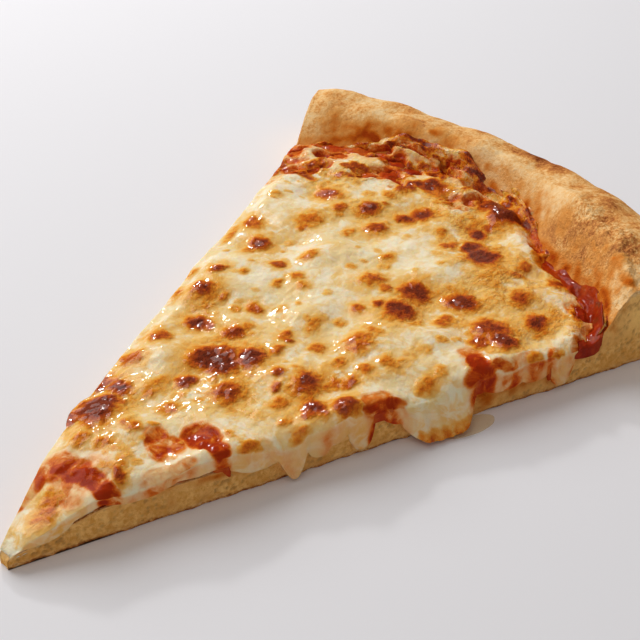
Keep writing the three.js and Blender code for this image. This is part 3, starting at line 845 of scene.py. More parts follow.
TOAST = (
    (0.0, (0.90, 0.65, 0.35)), (0.25, (0.84, 0.50, 0.20)), (0.45, (0.69, 0.31, 0.085)),
    (0.65, (0.50, 0.18, 0.052)), (1.0, (0.17, 0.035, 0.010)),
)
SOAKED = (
    (0.0, (0.86, 0.52, 0.20)), (0.4, (0.76, 0.345, 0.085)), (0.75, (0.58, 0.15, 0.014)),
    (1.0, (0.38, 0.055, 0.006)),
)
CRUMB_PALE = (0.98, 0.58, 0.19)
CRUMB_DEEP = (0.74, 0.345, 0.075)
CRUMB_PAINTED_LIGHT = (1.0, 0.60, 0.19)  # painted light: the crust's cut face is paler high up, as if it caught more light
THIN_AND_WARM_SHADE_TINT = (1.0, 0.77, 0.57)  # what hangs over the cut is thin and lets the sauce through; the tint is partly painted warm bounce light in its shade
PULP = (0.56, 0.12, 0.016)  # lighter specks in the sauce
SCORCHED_SAUCE = (0.20, 0.035, 0.008)
PORE_SHADE = (0.50, 0.26, 0.08)
OIL_TINT = (0.92, 0.74, 0.42)
FLOOR_TINT = (0.81, 0.82, 0.87)
DAYLIGHT = (1.0, 0.985, 0.97)
ROOM_LIGHT = (1.0, 0.95, 0.89)
ROOM_SHADE = (1.0, 0.93, 0.86)
GLINT_LEVEL = 0.0  # the faces mirror nothing by themselves; what glints is their wet film


def cheese_material():
    material, tree, shader = new_material(
        "browned_cheese", Roughness=0.4, Coat_Roughness=0.08, Specular_IOR_Level=GLINT_LEVEL,
        Subsurface_Weight=0.4, Subsurface_Scale=2.0 * MM,
    )
    shader.inputs["Subsurface Radius"].default_value = (1.0, 0.6, 0.3)
    # Pale cheese, richer round the blisters and milky in places.
    rich = plus(tree, ground(tree, 8, 4), times(tree, mark(tree, "rich"), 0.35))
    pale = colour_mix(tree, between(tree, rich, 0.42, 0.8), CREAM, BUTTER)
    milky = plus(tree, ground(tree, 4, 4, 0.6, 0.8), times(tree, ground(tree, 14, 2), 0.6))
    pale = colour_mix(tree, between(tree, milky, 0.68, 0.95, 0.0, 0.95), pale, WHITE)
    # How far it is baked, with a fine grain in what is browned.
    fine = ground(tree, 1.8, 3, 0.5)
    grain = less(tree, fine, 0.5)
    heat = mark(tree, "browned")
    heat = plus(tree, heat, times(tree, grain, between(tree, heat, 0.0, 0.5, 0.15, 1.0)))
    # Sauce that shows through, cloudy where there is much of it.
    show = mark(tree, "show")
    cloudy = times(tree, humps(tree, 4, 4, 0.6, 0.6), between(tree, show, 0.25, 0.7, 0.0, 2.2))
    show = plus(tree, plus(tree, show, cloudy), times(tree, grain, 0.35))
    base = colour_mix(tree, between(tree, show, 0.06, 0.5), pale, ramp(tree, show, SHOWING))
    # Sauce under the cheese tints it up to where it is well baked.
    bare_heat = less(tree, heat, times(tree, mark(tree, "show"), 0.4))
    base = colour_mix(tree, between(tree, bare_heat, 0.02, 0.14), base, ramp(tree, heat, BROWNING))
    # What hangs over the cut is tinted pinker: thin cheese showing the sauce, and partly painted warm
    # bounce light in its shade.
    base = colour_mix(tree, mark(tree, "thin"), base, THIN_AND_WARM_SHADE_TINT, "MULTIPLY")
    tree.links.new(base, shader.inputs["Base Color"])
    # Its wet film and its wrinkles.
    tree.links.new(between(tree, fine, 0.3, 0.7, 0.28, 0.48), shader.inputs["Roughness"])
    greasy = between(tree, mark(tree, "crisp"), 0.25, 1.2, 0.0, 0.4)
    wet = plus(tree, between(tree, show, 0.2, 0.6, 0.4, 0.14), greasy)
    tree.links.new(wet, shader.inputs["Coat Weight"])
    crisp = plus(tree, heat, mark(tree, "crisp"))
    wrinkled = times(tree, fine_ground(tree, 1.4, 0.55), between(tree, crisp, 0.0, 1.0, 0.45, 2.6))
    bumped(tree, shader, wrinkled, 0.5)
    return material


def sauce_material():
    material, tree, shader = new_material(
        "tomato_sauce", Roughness=0.4, Coat_Weight=0.22, Coat_Roughness=0.07,
        Specular_IOR_Level=GLINT_LEVEL,
    )
    tone = plus(tree, ground(tree, 5, 4, 0.6), mark(tree, "light"))
    pulp = grouped(tree, SPECKS, {"Scale": 1 / (2.2 * MM), "Size": 0.3})
    red = ramp(tree, tone, SAUCE_RED)
    red = colour_mix(tree, times(tree, pulp, 0.35), red, PULP)
    red = colour_mix(tree, mark(tree, "browned"), red, SCORCHED_SAUCE)
    tree.links.new(red, shader.inputs["Base Color"])
    bumped(tree, shader, fine_ground(tree, 1.8, 0.8), 0.6)
    return material


def bread_material():
    material, tree, shader = new_material("baked_dough", Roughness=0.85, Specular_IOR_Level=GLINT_LEVEL)
    # The baked skin: mottled and finely speckled.
    skin = plus(tree, mark(tree, "toast"), times(tree, humps(tree, 4.5, 7, 0.72), 1.5))
    strength = between(tree, mark(tree, "speckled"), 0.0, 1.0, 0.95, 1.9)
    skin = plus(tree, skin, times(tree, humps(tree, 0.9, 3, 0.7), strength))
    # The open crumb at the cuts.
    grain = ground(tree, 1.3, 5, 0.65)
    crumb = colour_mix(tree, between(tree, grain, 0.35, 0.65), CRUMB_DEEP, CRUMB_PALE)
    deep = between(tree, ground(tree, 5, 3, 0.6), 0.42, 0.62, 0.0, 0.6)
    crumb = colour_mix(tree, deep, crumb, CRUMB_DEEP)
    # Painted light: the crumb of the cuts turns paler from 6 to 14 millimetres up, as if lit more there.
    crumb = colour_mix(tree, between(tree, height_up(tree), 6 * MM, 14 * MM), crumb, CRUMB_PAINTED_LIGHT)
    crumb = colour_mix(tree, times(tree, mark(tree, "pore"), 0.8), crumb, PORE_SHADE)
    base = colour_mix(tree, mark(tree, "crumb"), ramp(tree, skin, TOAST), crumb)
    # Oil and sauce that have soaked in.
    soaked = plus(tree, mark(tree, "stain"), times(tree, less(tree, grain, 0.5), 0.4))
    base = colour_mix(tree, between(tree, soaked, 0.02, 0.6), base, ramp(tree, soaked, SOAKED))
    tree.links.new(base, shader.inputs["Base Color"])
    tree.links.new(between(tree, soaked, 0.3, 0.9, 0.85, 0.38), shader.inputs["Roughness"])
    bumped(tree, shader, times(tree, fine_ground(tree, 1.2, 0.4), strength), 0.3)
    return material


# ---- Dough ----
DOUGH_ROWS = 126
DOUGH_COLUMNS = 62
SIDE_CUTS = 7  # how often the dough's upright edges are cut
CRUST_CUTS = 3  # and its edges on the crust and at both cuts
CRUST_FROM = 0.66  # share of the rows that lies on the flat slab
NOSE = 2.5  # how far behind the tip its edge is rounded
NOSE_HEIGHT = 0.6  # share of the thickness at the very tip
RIM_BAND = 14  # how far in from the rim the crust's outline is uneven
RIM_UNEVEN = 0.35
FINE_PORE = 1.5
COARSE_PORE = 3.4
PORE_DEPTH = 0.3
CRUMB_LUMPS = 0.22
CRUMB_GRAIN = 0.09
BUBBLY_FROM = -7  # degrees; from here to the front cut the crust's skin is finely blistered
BUBBLY_TO = 18  # how far up from the foot
SKIN_TOAST = 0.26  # how far the skin is baked
BASE_TOAST = 0.42  # and the underside
THIN_STAIN_TO = 158  # the red line just below the toppings ends at the crust


def pores(points, bottom, top):
    """Fine and coarse pores of the crumb, away from the crust above and below it."""
    fine = falling(nearest_cell(points, FINE_PORE, 1), 0.42, 0.2)
    coarse = falling(nearest_cell(points * (1, 1, 1.4), COARSE_PORE, 2), 0.3, 0.14)
    inside = rising(np.minimum(points[:, 2] - bottom, top - points[:, 2]), 0.3, 0.6)
    return np.maximum(fine, coarse) * inside * smooth(0.6 + noise(points, 8, 2))


def crust_tones(x, y, z):
    """How much darker or paler each place of the crust is baked than the rest."""
    warped_x, warped_y = wandered(x, y, 2, 1.4, z)
    total = np.zeros(len(x))
    for *oval, change in CRUST_TONES:
        total = total + change * stain_spot(spot_distance(warped_x, warped_y, *oval))
    return total


def stained_cut(r, points):
    """How much has soaked in at the front cut."""
    stains = [(*oval, 0, strength) for *oval, strength in CUT_STAINS]
    warped_r = r + 1.2 * noise(points, 4, 3)
    warped_z = points[:, 2] + 0.9 * noise(points, 2.6, 6)
    return strongest(warped_r, warped_z, stains, stain_spot) * (0.85 + 0.5 * noise(points, 3.2, 8))


def stained_skin(r, angle, flat):
    """How much has soaked into the skin, around the toppings and in spots above them."""
    warped_x, warped_y = wandered(flat[:, 0], flat[:, 1], 4, 1.6, flat[:, 2])
    patchy = noise(flat, 3.4, 9)
    oily = strongest(warped_x, warped_y, OILY_PLACES, soft_spot) * (0.85 + 0.45 * patchy)
    above = (r - through(SAUCE_EDGE, angle)) * steepness(r, angle) + 1 - 3 * noise(flat, 6, 3)
    foot = 0.62 * (1 - smooth(above / 5)) + 0.2 * (1 - rising(above, 3, 8))
    return np.maximum(oily, foot * (0.85 + 0.5 * patchy))


def lay_dough(outward, to_front, up):
    """The dough's places and marks, from the way outwards, across the slice and up."""
    angle = mix(HALF_WEDGE, -HALF_WEDGE, to_front)
    foot = through(CRUST_FOOT, angle)
    outer = through(CRUST_OUTER, angle)
    slab_share = outward / CRUST_FROM
    on_slab = mix(TIP_RADIUS, foot, mix(slab_share, half_wave(slab_share), 0.5))
    on_crust = mix(foot, outer, half_wave((outward - CRUST_FROM) / (1 - CRUST_FROM)))
    r = np.where(outward < CRUST_FROM, on_slab, on_crust)
    x, y = plan(r, angle)
    rise = climb(r, angle)
    roll = crust_roll(r, angle)
    flat = stacked(x, y, dough_top(r, angle))
    bubbly = falling(angle, BUBBLY_FROM, 4) * falling(r, foot + BUBBLY_TO, 8)
    tones = crust_tones(x, y, flat[:, 2])
    skin = 0.4 * rough(flat, 9, 2, 3) + 0.08 * noise(flat, 1.7, 5)
    skin = skin + (0.6 * bubbly + 0.3 * np.clip(tones, 0, 0.5)) * (0.6 - nearest_cell(flat, 2.4, 2)) * 2
    skin = skin + 0.45 * bubbly * noise(flat, 5, 12)
    nose = np.sqrt(np.clip((r - TIP_RADIUS) / NOSE, 0, 1))
    top = dough_top(r, angle) * mix(NOSE_HEIGHT, 1, nose) + rise * skin * np.sqrt(1 - roll ** 2)
    bottom = dough_bottom(r, angle)
    z = mix(bottom, top, up)
    # The rim's own unevenness goes outwards, the cuts' crumb goes inwards.
    points = stacked(x, y, z)
    rim = rising(r - outer, -RIM_BAND, RIM_BAND) * RIM_UNEVEN * rough(points, 8, 4, 2)
    turn = np.radians(angle)
    at_front = to_front > 1 - NEAR
    at_back = to_front < NEAR
    cut = (at_front | at_back).astype(float)
    pore = pores(points, bottom, top) * cut
    crumbly = 0.2 + CRUMB_LUMPS * rough(points, 4.5, 3, 2) + CRUMB_GRAIN * noise(points, 0.9, 4)
    depth = cut * (crumbly + PORE_DEPTH * pore)
    depth = depth * (0.25 + 0.75 * falling(z, top, 1.6))
    depth = depth + cut * 0.3 * falling(z - bottom, 1.1, 1.1) * (1 + noise(points, 2.6, 1))
    normal_x = np.where(at_front, FRONT_NORMAL[0], BACK_NORMAL[0])
    normal_y = np.where(at_front, FRONT_NORMAL[1], BACK_NORMAL[1])
    points[:, 0] += rim * np.cos(turn) - depth * normal_x
    points[:, 1] += rim * np.sin(turn) - depth * normal_y
    # How far each place is baked.
    toast = SKIN_TOAST + 0.16 * rough(flat, 11, 1) + 0.1 * rising(r - outer, -12, 12) + tones
    toast = toast + 0.12 * falling(z, EQUATOR, 5) * rising(r - outer, -16, 12)
    toast = np.where(up < NEAR, BASE_TOAST + 0.2 * rough(points, 9, 2), toast)
    # Browner towards the bottom of the cuts: the baked underside, and partly painted shade near the floor.
    low = falling(z - bottom, 1.5, 1.2)
    toast = toast + 0.3 * low * cut * (1 + 0.6 * noise(points, 5, 1))
    crumb = cut * (1 - low) * falling(z, top, 0.4 + 1.2 * rise)
    crumb = np.where(outward < NEAR, 1.0, crumb)
    # What has soaked in at the cuts and on the skin.
    below = slab_top(r, angle) - z
    thin = 0.3 * smooth(1 - below / 1.5) * (r < THIN_STAIN_TO)
    at_cut = np.where(at_front, np.maximum(stained_cut(r, points), thin), thin) * cut
    on_skin = stained_skin(r, angle, flat) * (1 - cut) * (up > 0.5) * rising(r, 60, 40)
    stain = np.maximum(at_cut, on_skin)
    return points, {"toast": toast, "crumb": crumb, "pore": pore, "stain": stain, "speckled": bubbly}


def make_dough(material):
    bm = block(DOUGH_ROWS, DOUGH_COLUMNS)
    cut_edges(bm, stands, SIDE_CUTS)
    first_crust = CRUST_FROM - 0.5 / DOUGH_ROWS

    def wanted(a, b):
        both_front = a.y < NEAR and b.y < NEAR
        both_back = a.y > 1 - NEAR and b.y > 1 - NEAR
        return both_front or both_back or (on_top(a, b) and min(a.x, b.x) > first_crust)

    cut_edges(bm, wanted, CRUST_CUTS)
    return piece_from("baked_dough", bm, lay_dough, material, "dough")


# ---- Sauce and cheese lie as sheets that run on over the front cut ----
def bell(distance, half_width, blunt):
    """1 in the middle and 0 beyond the half width; the blunt ones stay full for longer."""
    full = np.clip((blunt - 1.3) / 3, 0, 0.6)
    return 1 - rising(np.abs(distance) / half_width, full, 1 - full)


TUCKED = -0.8  # how far behind the cut a sheet ends where nothing of it hangs over


def hanging(r, hem, drips, lip, kept):
    """How far what hangs over the cut stands out, how far its foot runs, and where it ends."""
    out = np.full(len(r), lip)
    run = np.zeros(len(r))
    end = hem
    for at, half_width, drip_out, drip_run, drip_end, blunt in drips:
        share = bell(r - at, half_width, blunt)
        out = np.maximum(out, mix(lip, drip_out, share))
        run = np.maximum(run, drip_run * share)
        oval = np.sqrt(np.clip(1 - np.abs((r - at) / half_width) ** blunt, 0, 1))
        outline = mix(share, oval, np.clip((blunt - 1.5) / 0.7, 0, 1))
        end = np.minimum(end, mix(hem, np.minimum(drip_end, hem), outline))
    return mix(TUCKED, out, kept), run * kept, mix(hem, end, kept)


LIP_DROP = 1.2  # how far the cheese rounds over before the cut
LIP_REACH = 3.2
DRIP_DROP = 0.75  # how far it sinks at a drip, for each millimetre that the drip stands out


def rounded_over(r, angle, drips):
    """How far a sheet has sunk before the front cut, and how steeply it runs over it."""
    from_cut = to_cut(r, -angle)
    depth = np.zeros(len(r))
    slope = np.zeros(len(r))
    for at, half_width, drip_out, *_, blunt in drips:
        drop = DRIP_DROP * drip_out * bell(r - at, 1.1 * half_width, blunt)
        reach = 3 * drip_out + 1.5
        depth = np.maximum(depth, drop * np.clip(1 - from_cut / reach, 0, 1) ** 2)
        slope = np.maximum(slope, 2 * drop / reach)
    lip = LIP_DROP * np.clip(1 - from_cut / LIP_REACH, 0, 1) ** 2
    return depth + lip, slope + 2 * LIP_DROP / LIP_REACH


INSIDE = -0.6  # how far behind the cut a draped sheet's inner face lies
TOE_FROM = 0.86  # the share of the way down at which a hem begins to turn in
TOE_HEIGHT = 0.3  # over which a hem is rounded
TOE_SHARE = 0.35  # and how much more for each millimetre that it runs out
PULL_REACH = 3  # how far before the cut a sheet's edge is drawn in
BACK_REACH = 1.5  # how far before the back cut a layer's edge is moved
BACK_UNEVEN = 0.12
SINK_SHARE = 0.4
SINK_AT_MOST = 1.2


def drape(points, down, top, lowest, shape, slope, upper):
    """Bends the part of a sheet that lies past the front cut down over it, with a rounded hem."""
    out, run, end = shape
    toe_height = end + TOE_HEIGHT + TOE_SHARE * run
    along = np.clip(down / TOE_FROM, 0, 1)
    corner_z = np.maximum(top - slope * out, toe_height)
    outer_z = mix(mix(top, corner_z, along), mix(corner_z, toe_height, along), along)
    outside = np.maximum(out, 0) * along * (2 - along) + run * along ** 4
    toe = (down - TOE_FROM) / (1 - TOE_FROM)
    turning_in = down > TOE_FROM
    curl = np.sqrt(np.clip(1 - toe ** 2, 0, 1))
    outside = np.where(turning_in, mix(INSIDE, outside, curl), outside)
    outer_z = np.where(turning_in, mix(toe_height, end, np.clip(toe, 0, 1)), outer_z)
    inner_z = mix(np.maximum(lowest, end), end, down)
    shift = np.where(upper, outside, INSIDE - 0.1) + np.minimum(out, 0)
    bent = points.copy()
    push(bent, FRONT_NORMAL, shift)
    bent[:, 2] = np.where(upper, outer_z, inner_z)
    return bent


def sauce_sinks(depth):
    """How far the sauce sinks with the cheese that rounds over before the cut."""
    return np.minimum(SINK_SHARE * depth, SINK_AT_MOST)


def pulled_in(points, r, angle, shape):
    """Draws a sheet's edge in from the front cut wherever nothing of it hangs over."""
    pull = np.minimum(shape[0], 0) * np.clip(1 - to_cut(r, -angle) / PULL_REACH, 0, 1)
    push(points, FRONT_NORMAL, pull)
    return points


def off_the_back(points, r, angle, upper, over, under):
    """Keeps a layer's cut face at the back out of the plane of the others'."""
    near = smooth(1 - to_cut(r, angle) / BACK_REACH)
    shift = np.where(upper, over + BACK_UNEVEN * along_cut(r, 4, 5), under)
    push(points, BACK_NORMAL, shift * near)


SHEET_COLUMNS = 36
DRAPE_COLUMNS = 6
CLOSER = 0.125  # how much closer the sheets' rows lie up the crust


def closer_up(outward):
    """Shares of the way outwards, with the rows drawn together towards the crust."""
    return (1 + CLOSER) * outward - CLOSER * outward ** 5


def sheet_place(to_front):
    """Shares of a sheet with its drape: the angle across the slice, and the way down the drape."""
    column = to_front * (SHEET_COLUMNS + DRAPE_COLUMNS)
    angle = mix(HALF_WEDGE, -HALF_WEDGE, np.clip(column / SHEET_COLUMNS, 0, 1))
    return angle, np.clip((column - SHEET_COLUMNS) / DRAPE_COLUMNS, 0, 1)


# ---- Sauce ----
SAUCE_ROWS = 100
SAUCE_CUTS = 3  # how often the edges of its upper face are cut
SAUCE_UNDER = 1.6  # how far its hidden face lies inside the dough
SAUCE_DIP = -0.7  # how far into the dough its upper face dips where it ends
SAUCE_LIP = 0.12  # how far it stands out over the front cut between its drips
SAUCE_HANGS_FROM = 33  # along the front cut
LIGHT_FROM = 8  # degrees; from here to the back cut the sauce's end is lighter
SCORCHED_FROM = -9  # degrees; from here to the front cut the sauce's end is browned


def lay_sauce(outward, to_front, up):
    """The sauce's places and marks, from the way outwards, across the slice and up."""
    angle, down = sheet_place(to_front)
    end = through(SAUCE_EDGE, angle)
    r = mix(TIP_RADIUS + SAUCE_TIP, end, closer_up(outward))
    x, y = plan(r, angle)
    base = dough_top(r, angle)
    flat = sloping(r, angle, x, y)
    show = holes(saucy(r, angle, x, y), r, angle)
    open_share = rising(show, 0.72, 0.14)
    band = rising(r - through(CHEESE_END, angle), -8, 8)
    lumps = 0.5 * rough(flat, 5, 6, 3, 0.5)
    chunks = falling(nearest_cell(flat, 5, 1), 0.62, 0.5)
    calm = 1 / steepness(r, angle)
    soft = (1 - 0.5 * climb(r, angle)) * calm
    height = GAP + SAUCE_THICKNESS + open_share * (OPEN_SAUCE - band + 0.6 * lumps * soft)
    height = height + band * (0.4 * chunks * soft - 0.1)
    ending = (end - r) * steepness(r, angle) + 1.5 * noise(flat, 5, 2)
    height = height * mix(0.2, 1, smooth(ending / 9))
    kept = smooth(ending / 4) * rising(r, 9, 8)
    depth, slope = rounded_over(r, angle, CHEESE_DRIPS)
    top = base + mix(SAUCE_DIP, height, kept) - sauce_sinks(depth)
    upper = up > 0.5
    points = stacked(x, y, np.where(upper, top, base - SAUCE_UNDER))
    hem = base - 0.4 - 0.4 * np.clip(along_cut(r, 5, 6), -0.5, 1)
    hangs = rising(show, 0.35, 0.4) * rising(r, SAUCE_HANGS_FROM, 5) * rising(kept, 0.6, 0.4)
    shape = hanging(r, hem, SAUCE_DRIPS, SAUCE_LIP, hangs)
    bent = drape(points, down, top, base, shape, slope, upper)
    points = np.where((down > 0)[:, None], bent, pulled_in(points, r, angle, shape))
    off_the_back(points, r, angle, upper, over=-0.3, under=-0.7)
    # Its tone, and where its end is scorched.
    at_back = rising(angle, LIGHT_FROM, 6)
    light = 0.14 * noise(flat, 9, 4) + 0.04 - band * (0.12 - 0.3 * at_back)
    light = light + 0.2 * (1 - rising(show, 0.75, 0.25))
    scorched = 0.8 * rising(noise(flat, 4, 6) + 0.5 * noise(flat, 1.9, 7), 0.05, 0.5)
    scorched = scorched * rising(r, through(CHEESE_END, angle), 10) * (1 - 0.6 * at_back)
    scorched = scorched + 0.45 * falling(angle, SCORCHED_FROM, 3) * (1 - smooth(ending / 8))
    return points, {"light": light, "browned": scorched}


def make_sauce(material):
    bm = block(SAUCE_ROWS, SHEET_COLUMNS + DRAPE_COLUMNS)
    cut_edges(bm, on_top, SAUCE_CUTS)
    return piece_from("tomato_sauce", bm, lay_sauce, material, "sauce")


# ---- Cheese ----
CHEESE_ROWS = 84
CHEESE_CUTS = 4
CHEESE_UNDER = 2.2  # how far below the sauce's upper face its hidden one lies
CHEESE_LEAST = 0.3  # its least thickness
CHEESE_DIP = -0.9
CHEESE_NOSE = 2.4  # the height at which it begins at the tip
CHEESE_LIP = 0.2
PAST_SAUCE = 1  # how far its last film runs past the sauce
CORNER_FROM = -8  # degrees; from here to the front cut the toppings end close together
CORNER_PULL = 1.4  # how much less far the cheese runs there
CLIMBS_FROM = 2  # degrees, between which it climbs up the crust
CLIMBS_TO = 17
PALER_FROM = -11  # degrees; from here to the front cut the band near the crust is browned less
RICH_TO = 28  # the tip's cheese is richer up to here
VEIL_FROM = 22  # along the front cut, from where on sauce shows through what hangs over it
CRISP_FROM = 125  # from where on golden cheese glistens more


def cheese_relief(flat, heat, dome, wrinkled, show, band, band_relief):
    """Folds, strands, blisters and wrinkles of the cheese's upper face."""
    folds = 1 - 2 * np.abs(noise(flat, 9, 16))
    strands = np.abs(noise(flat * (1, 1.5, 1), 4.2, 25)) * smooth(0.5 + noise(flat, 14, 26))
    relief = 0.26 * rough(flat, 7, 3, 3, 0.55) + 0.1 * folds - 0.3 * strands + 0.05 * noise(flat, 1.6, 7)
    relief = relief + dome + (0.14 + 0.22 * wrinkled) * smooth(heat / 0.4) * noise(flat, 1.6, 8)
    relief = relief + band * band_relief * rough(flat, 6.5, 9, 2)
    tinted = rising(show, 0.4, 0.25) * (1 - band)
    return relief + tinted * (0.3 + 0.3 * noise(flat, 3.4, 22) + 0.12 * noise(flat, 1.6, 23))


def streaks(points, r, down, tongue):
    """How wavy and streaked the cheese is that hangs over the front cut."""
    runs = 0.2 * noise(stacked(r * 1.6, 0 * r, points[:, 2] * 0.3), 3, 2) * smooth(down / 0.3)
    wave = runs * (1 + 1.4 * tongue) + 0.16 * noise(points, 2.6, 3)
    return wave * (down > 0) * (1 - rising(down, 0.8, 0.2))


def cheese_heat(heat, flat, r, angle, down, ending, band):
    """How far it is baked, with the band near the crust and the foot of the tongue."""
    band_heat = band * 0.8 * rising(noise(flat, 6, 14) + 0.5 * noise(flat, 2.6, 15), 0.02, 0.6)
    band_heat = band_heat * mix(1, 0.5, falling(angle, PALER_FROM, 4))
    baked_end = 0.5 * (1 - smooth(ending / 7)) * (0.75 + 0.5 * noise(flat, 3, 24))
    foot_heat = 0.5 * rising(down, 0.5, 0.4) * falling(np.abs(r - TONGUE_FOOT), 9, 3)
    return (heat + band_heat + baked_end) * (1 - 0.8 * smooth(down / 0.3)) + foot_heat


def sauce_through(show, flat, r, down, tongue, corner_band):
    """How far sauce shows through it, around the open places and in what hangs over the cut."""
    warped_x, warped_y = wandered(flat[:, 0], flat[:, 1], 5, 0.8)
    ring = strongest(warped_x, warped_y, SAUCY_PLACES, faint_ring, wider=1.5)
    ring = ring * (0.8 + 0.5 * noise(flat, 3.5, 17))
    corner = corner_band * (0.34 + 0.3 * noise(flat, 4, 19))
    patchy = 0.55 + 0.6 * noise(stacked(r, 0 * r, 4 * down), 3.2, 10)
    veil = (0.16 + 0.26 * noise(stacked(r, 0 * r, down), 4, 4)) * smooth(down / 0.4)
    veil = veil * rising(r, VEIL_FROM, 8) * (1 - 0.7 * tongue)
    return np.maximum(np.maximum(show, ring), corner) * mix(1, patchy, smooth(down / 0.25)) + veil


def add_nubs(points, r, angle, upper):
    """Lets the nubs of cheese stand out over the back cut."""
    nub = np.zeros(len(r))
    for at, half_width, out in BACK_NUBS:
        nub = np.maximum(nub, out * np.clip(1 - ((r - at) / half_width) ** 2, 0, 1))
    push(points, BACK_NORMAL, nub * smooth(1 - to_cut(r, angle) / 4) * upper)


def lay_cheese(outward, to_front, up):
    """The cheese's places and marks, from the way outwards, across the slice and up."""
    # How far the sheet reaches, and how far in from its end each place lies.
    angle, down = sheet_place(to_front)
    at_corner = falling(angle, CORNER_FROM, 3)
    reach = through(SAUCE_EDGE, angle) + PAST_SAUCE - CORNER_PULL * at_corner
    reach = reach + CLIMBING * rising(angle, CLIMBS_FROM, 5) * falling(angle, CLIMBS_TO, 6.5)
    r = mix(TIP_RADIUS + CHEESE_TIP, reach, closer_up(outward))
    x, y = plan(r, angle)
    flat = sloping(r, angle, x, y)
    ending = (reach - r) * steepness(r, angle) + 1.6 * noise(flat, 5, 11)
    past_end = r - through(CHEESE_END, angle)
    band = rising(past_end, -5, 8)
    # How thick it lies.
    show = saucy(r, angle, x, y)
    at_tip = mix(CHEESE_AT_TIP[0], 1, rising(r, TIP_RADIUS, CHEESE_AT_TIP[1]))
    at_back = mix(CHEESE_AT_BACK_CUT[0], 1, smooth(to_cut(r, angle) / CHEESE_AT_BACK_CUT[1]))
    lumps = 1 + swell(x, y, CHEESE_WAVES) + swell(x, y, CHEESE_LUMPS)
    thinned = 1 - (0.22 + 0.25 * band) * rising(show, 0.3, 0.5)
    calm = 1 / steepness(r, angle)
    thickness = (GAP + CHEESE_THICKNESS) * lumps * at_tip * at_back * thinned * mix(1, calm, 0.6)
    # Its upper face.
    browned, halo, dome, wrinkled = baked(x, y)
    gold = golden(x, y)
    heat = browned + gold
    band_relief = (0.45 - 0.2 * climb(r, angle)) * (1 - 0.6 * at_corner)
    relief = cheese_relief(flat, heat, dome, wrinkled, show, band, band_relief) * calm ** 1.5
    depth, slope = rounded_over(r, angle, CHEESE_DRIPS)
    over = thickness + relief * (0.3 + 0.7 * at_back) - depth * at_tip
    over = np.maximum(over, CHEESE_LEAST - sauce_sinks(depth))
    base = dough_top(r, angle)
    level = sauce_level(r, angle)
    film = mix(0.12, 1, smooth(ending / 11))
    cover = (1 - rising(holes(show, r, angle), 0.8, 0.26)) * smooth(ending / 5)
    top = base + mix(CHEESE_DIP, (level - base + over) * film, cover)
    top = mix(CHEESE_NOSE, top, np.sqrt(np.clip((r - TIP_RADIUS) / 5, 0, 1)))
    upper = up > 0.5
    hidden = np.minimum(level - CHEESE_UNDER, top - CHEESE_LEAST)
    points = stacked(x, y, np.where(upper, top, hidden))
    # What hangs over the front cut, and the nubs over the back cut.
    tongue = falling(np.abs(r - TONGUE_AT), TONGUE_HALF, 4)
    scallops = along_cut(r, 7, 3) + 0.4 * along_cut(r, 2.4, 5)
    hem = np.minimum(level, top) - 0.6 - 0.8 * scallops * (1 - show)
    shape = hanging(r, hem, CHEESE_DRIPS, CHEESE_LIP, smooth(cover / 0.7))
    bent = drape(points, down, top, level - 0.8, shape, slope, upper)
    push(bent, FRONT_NORMAL, streaks(points, r, down, tongue) * upper)
    points = np.where((down > 0)[:, None], bent, pulled_in(points, r, angle, shape))
    add_nubs(points, r, angle, upper)
    off_the_back(points, r, angle, upper, over=0.1, under=-0.5)
    points[:, 2] = np.maximum(points[:, 2], 0.1)
    near_band = rising(past_end, -22, 20)
    marks = {
        "browned": cheese_heat(heat, flat, r, angle, down, ending, band),
        "rich": 0.8 * halo + 0.6 * noise(flat, 12, 5) + falling(r, RICH_TO, 12) + 0.5 * near_band,
        "show": sauce_through(show, flat, r, down, tongue, band * at_corner),
        # The drape's tint: thin cheese over sauce, and partly painted warm bounce light in the front cut's
        # shade.
        "thin": 0.9 * smooth(down / 0.4) * (1 - 0.6 * tongue),
        "crisp": (0.6 + 2 * rising(r, CRISP_FROM, 20)) * gold + 0.3 * band,
    }
    return points, marks


def make_cheese(material):
    bm = block(CHEESE_ROWS, SHEET_COLUMNS + DRAPE_COLUMNS)
    cut_edges(bm, on_top, CHEESE_CUTS)
    return piece_from("browned_cheese", bm, lay_cheese, material, "cheese")


# ---- The oil that has run out under the tongue of cheese ----
OIL_ALONG = 112  # along the front cut
OIL_OUT = 2.4  # from the front cut
OIL_LENGTH = 16
OIL_WIDTH = 6.4
OIL_THICKNESS = 0.12
OIL_WAVY = 0.22  # how uneven its outline is


def oil_material():
    material, _, shader = new_material(
        "oil", Roughness=0.12, Coat_Weight=0.6, Coat_Roughness=0.05, Specular_IOR_Level=GLINT_LEVEL,
        Alpha=0.3,
    )
    shader.inputs["Base Color"].default_value = (*OIL_TINT, 1)
    return material


def make_oil(material):
    bm = bmesh.new()
    bmesh.ops.create_icosphere(bm, subdivisions=4, radius=1)
    mesh = mesh_from("oil_film", bm)
    ball = corners_of(mesh)
    wavy = 1 + OIL_WAVY * noise(stacked(ball[:, 0], ball[:, 1]), 0.9, 2)
    along = OIL_ALONG + OIL_LENGTH / 2 * ball[:, 0] * wavy
    out = OIL_OUT + OIL_WIDTH / 2 * ball[:, 1] * wavy
    x = along * COS_HALF + FRONT_NORMAL[0] * out - APEX_TO_ORIGIN
    y = -along * SIN_HALF + FRONT_NORMAL[1] * out
    z = OIL_THICKNESS / 2 * (1 + ball[:, 2])
    move_corners(mesh, stacked(x, y, z))
    mesh.materials.append(material)
    oil = put_in_scene("oil_film", mesh)
    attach(oil, "root")


# ---- Floor, light and camera ----
FLOOR_HALF = 3  # half its side, in metres


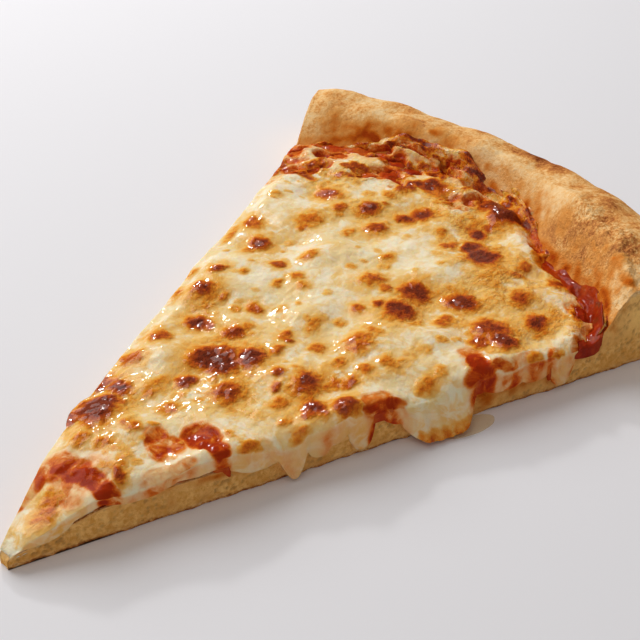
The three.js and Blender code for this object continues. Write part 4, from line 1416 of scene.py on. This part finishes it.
def make_floor():
    bm = bmesh.new()
    bmesh.ops.create_grid(bm, x_segments=1, y_segments=1, size=FLOOR_HALF)
    mesh = mesh_from("floor", bm)
    material, _, shader = new_material("floor_paint", Roughness=0.9)
    shader.inputs["Base Color"].default_value = (*FLOOR_TINT, 1)
    mesh.materials.append(material)
    floor = put_in_scene("floor", mesh)


def make_lamp(name, azimuth, elevation, distance, size, watts, colour):
    """A round lamp that looks at the slice: degrees from +X and above the floor, metres and watts."""
    lamp = bpy.data.lights.new(name, "AREA")
    lamp.shape = "DISK"
    lamp.size = size
    lamp.energy = watts
    lamp.color = colour
    turn = math.radians(azimuth)
    lift = math.radians(elevation)
    away = Vector((math.cos(turn) * math.cos(lift), math.sin(turn) * math.cos(lift), math.sin(lift)))
    holder = put_in_scene(name, lamp)
    holder.location = away * distance
    holder.rotation_euler = (-away).to_track_quat("-Z", "Y").to_euler()


def make_world(strength, colour):
    world = bpy.data.worlds.new("soft_room")
    world.use_nodes = True
    sky = world.node_tree.nodes["Background"]
    sky.inputs["Color"].default_value = (*colour, 1)
    sky.inputs["Strength"].default_value = strength
    bpy.context.scene.world = world


CAMERA_PLACE = (-0.19741, -0.16840, 0.19017)
CAMERA_AIM = (0.00343, 0.00941, 0.0)
CAMERA_LENS = 70
CAMERA_SENSOR = 36
CAMERA_NEAR = 0.01


def make_camera():
    camera = bpy.data.cameras.new("camera")
    camera.lens = CAMERA_LENS
    camera.sensor_width = CAMERA_SENSOR
    camera.clip_start = CAMERA_NEAR
    holder = put_in_scene("camera", camera)
    holder.location = CAMERA_PLACE
    looking = Vector(CAMERA_AIM) - Vector(CAMERA_PLACE)
    holder.rotation_euler = looking.to_track_quat("-Z", "Y").to_euler()
    bpy.context.scene.camera = holder


make_camera()
make_floor()
make_lamp("window_light", azimuth=88, elevation=42, distance=1.2, size=1.1, watts=10.6, colour=DAYLIGHT)
make_lamp("window_gap", azimuth=60, elevation=30, distance=1.2, size=0.1, watts=3, colour=DAYLIGHT)
make_lamp("room_light", azimuth=190, elevation=65, distance=1.3, size=1, watts=1.4, colour=ROOM_LIGHT)
make_world(strength=0.3, colour=ROOM_SHADE)
bpy.context.scene.view_settings.view_transform = "Standard"

make_dough(bread_material())
make_sauce(sauce_material())
make_cheese(cheese_material())
make_oil(oil_material())
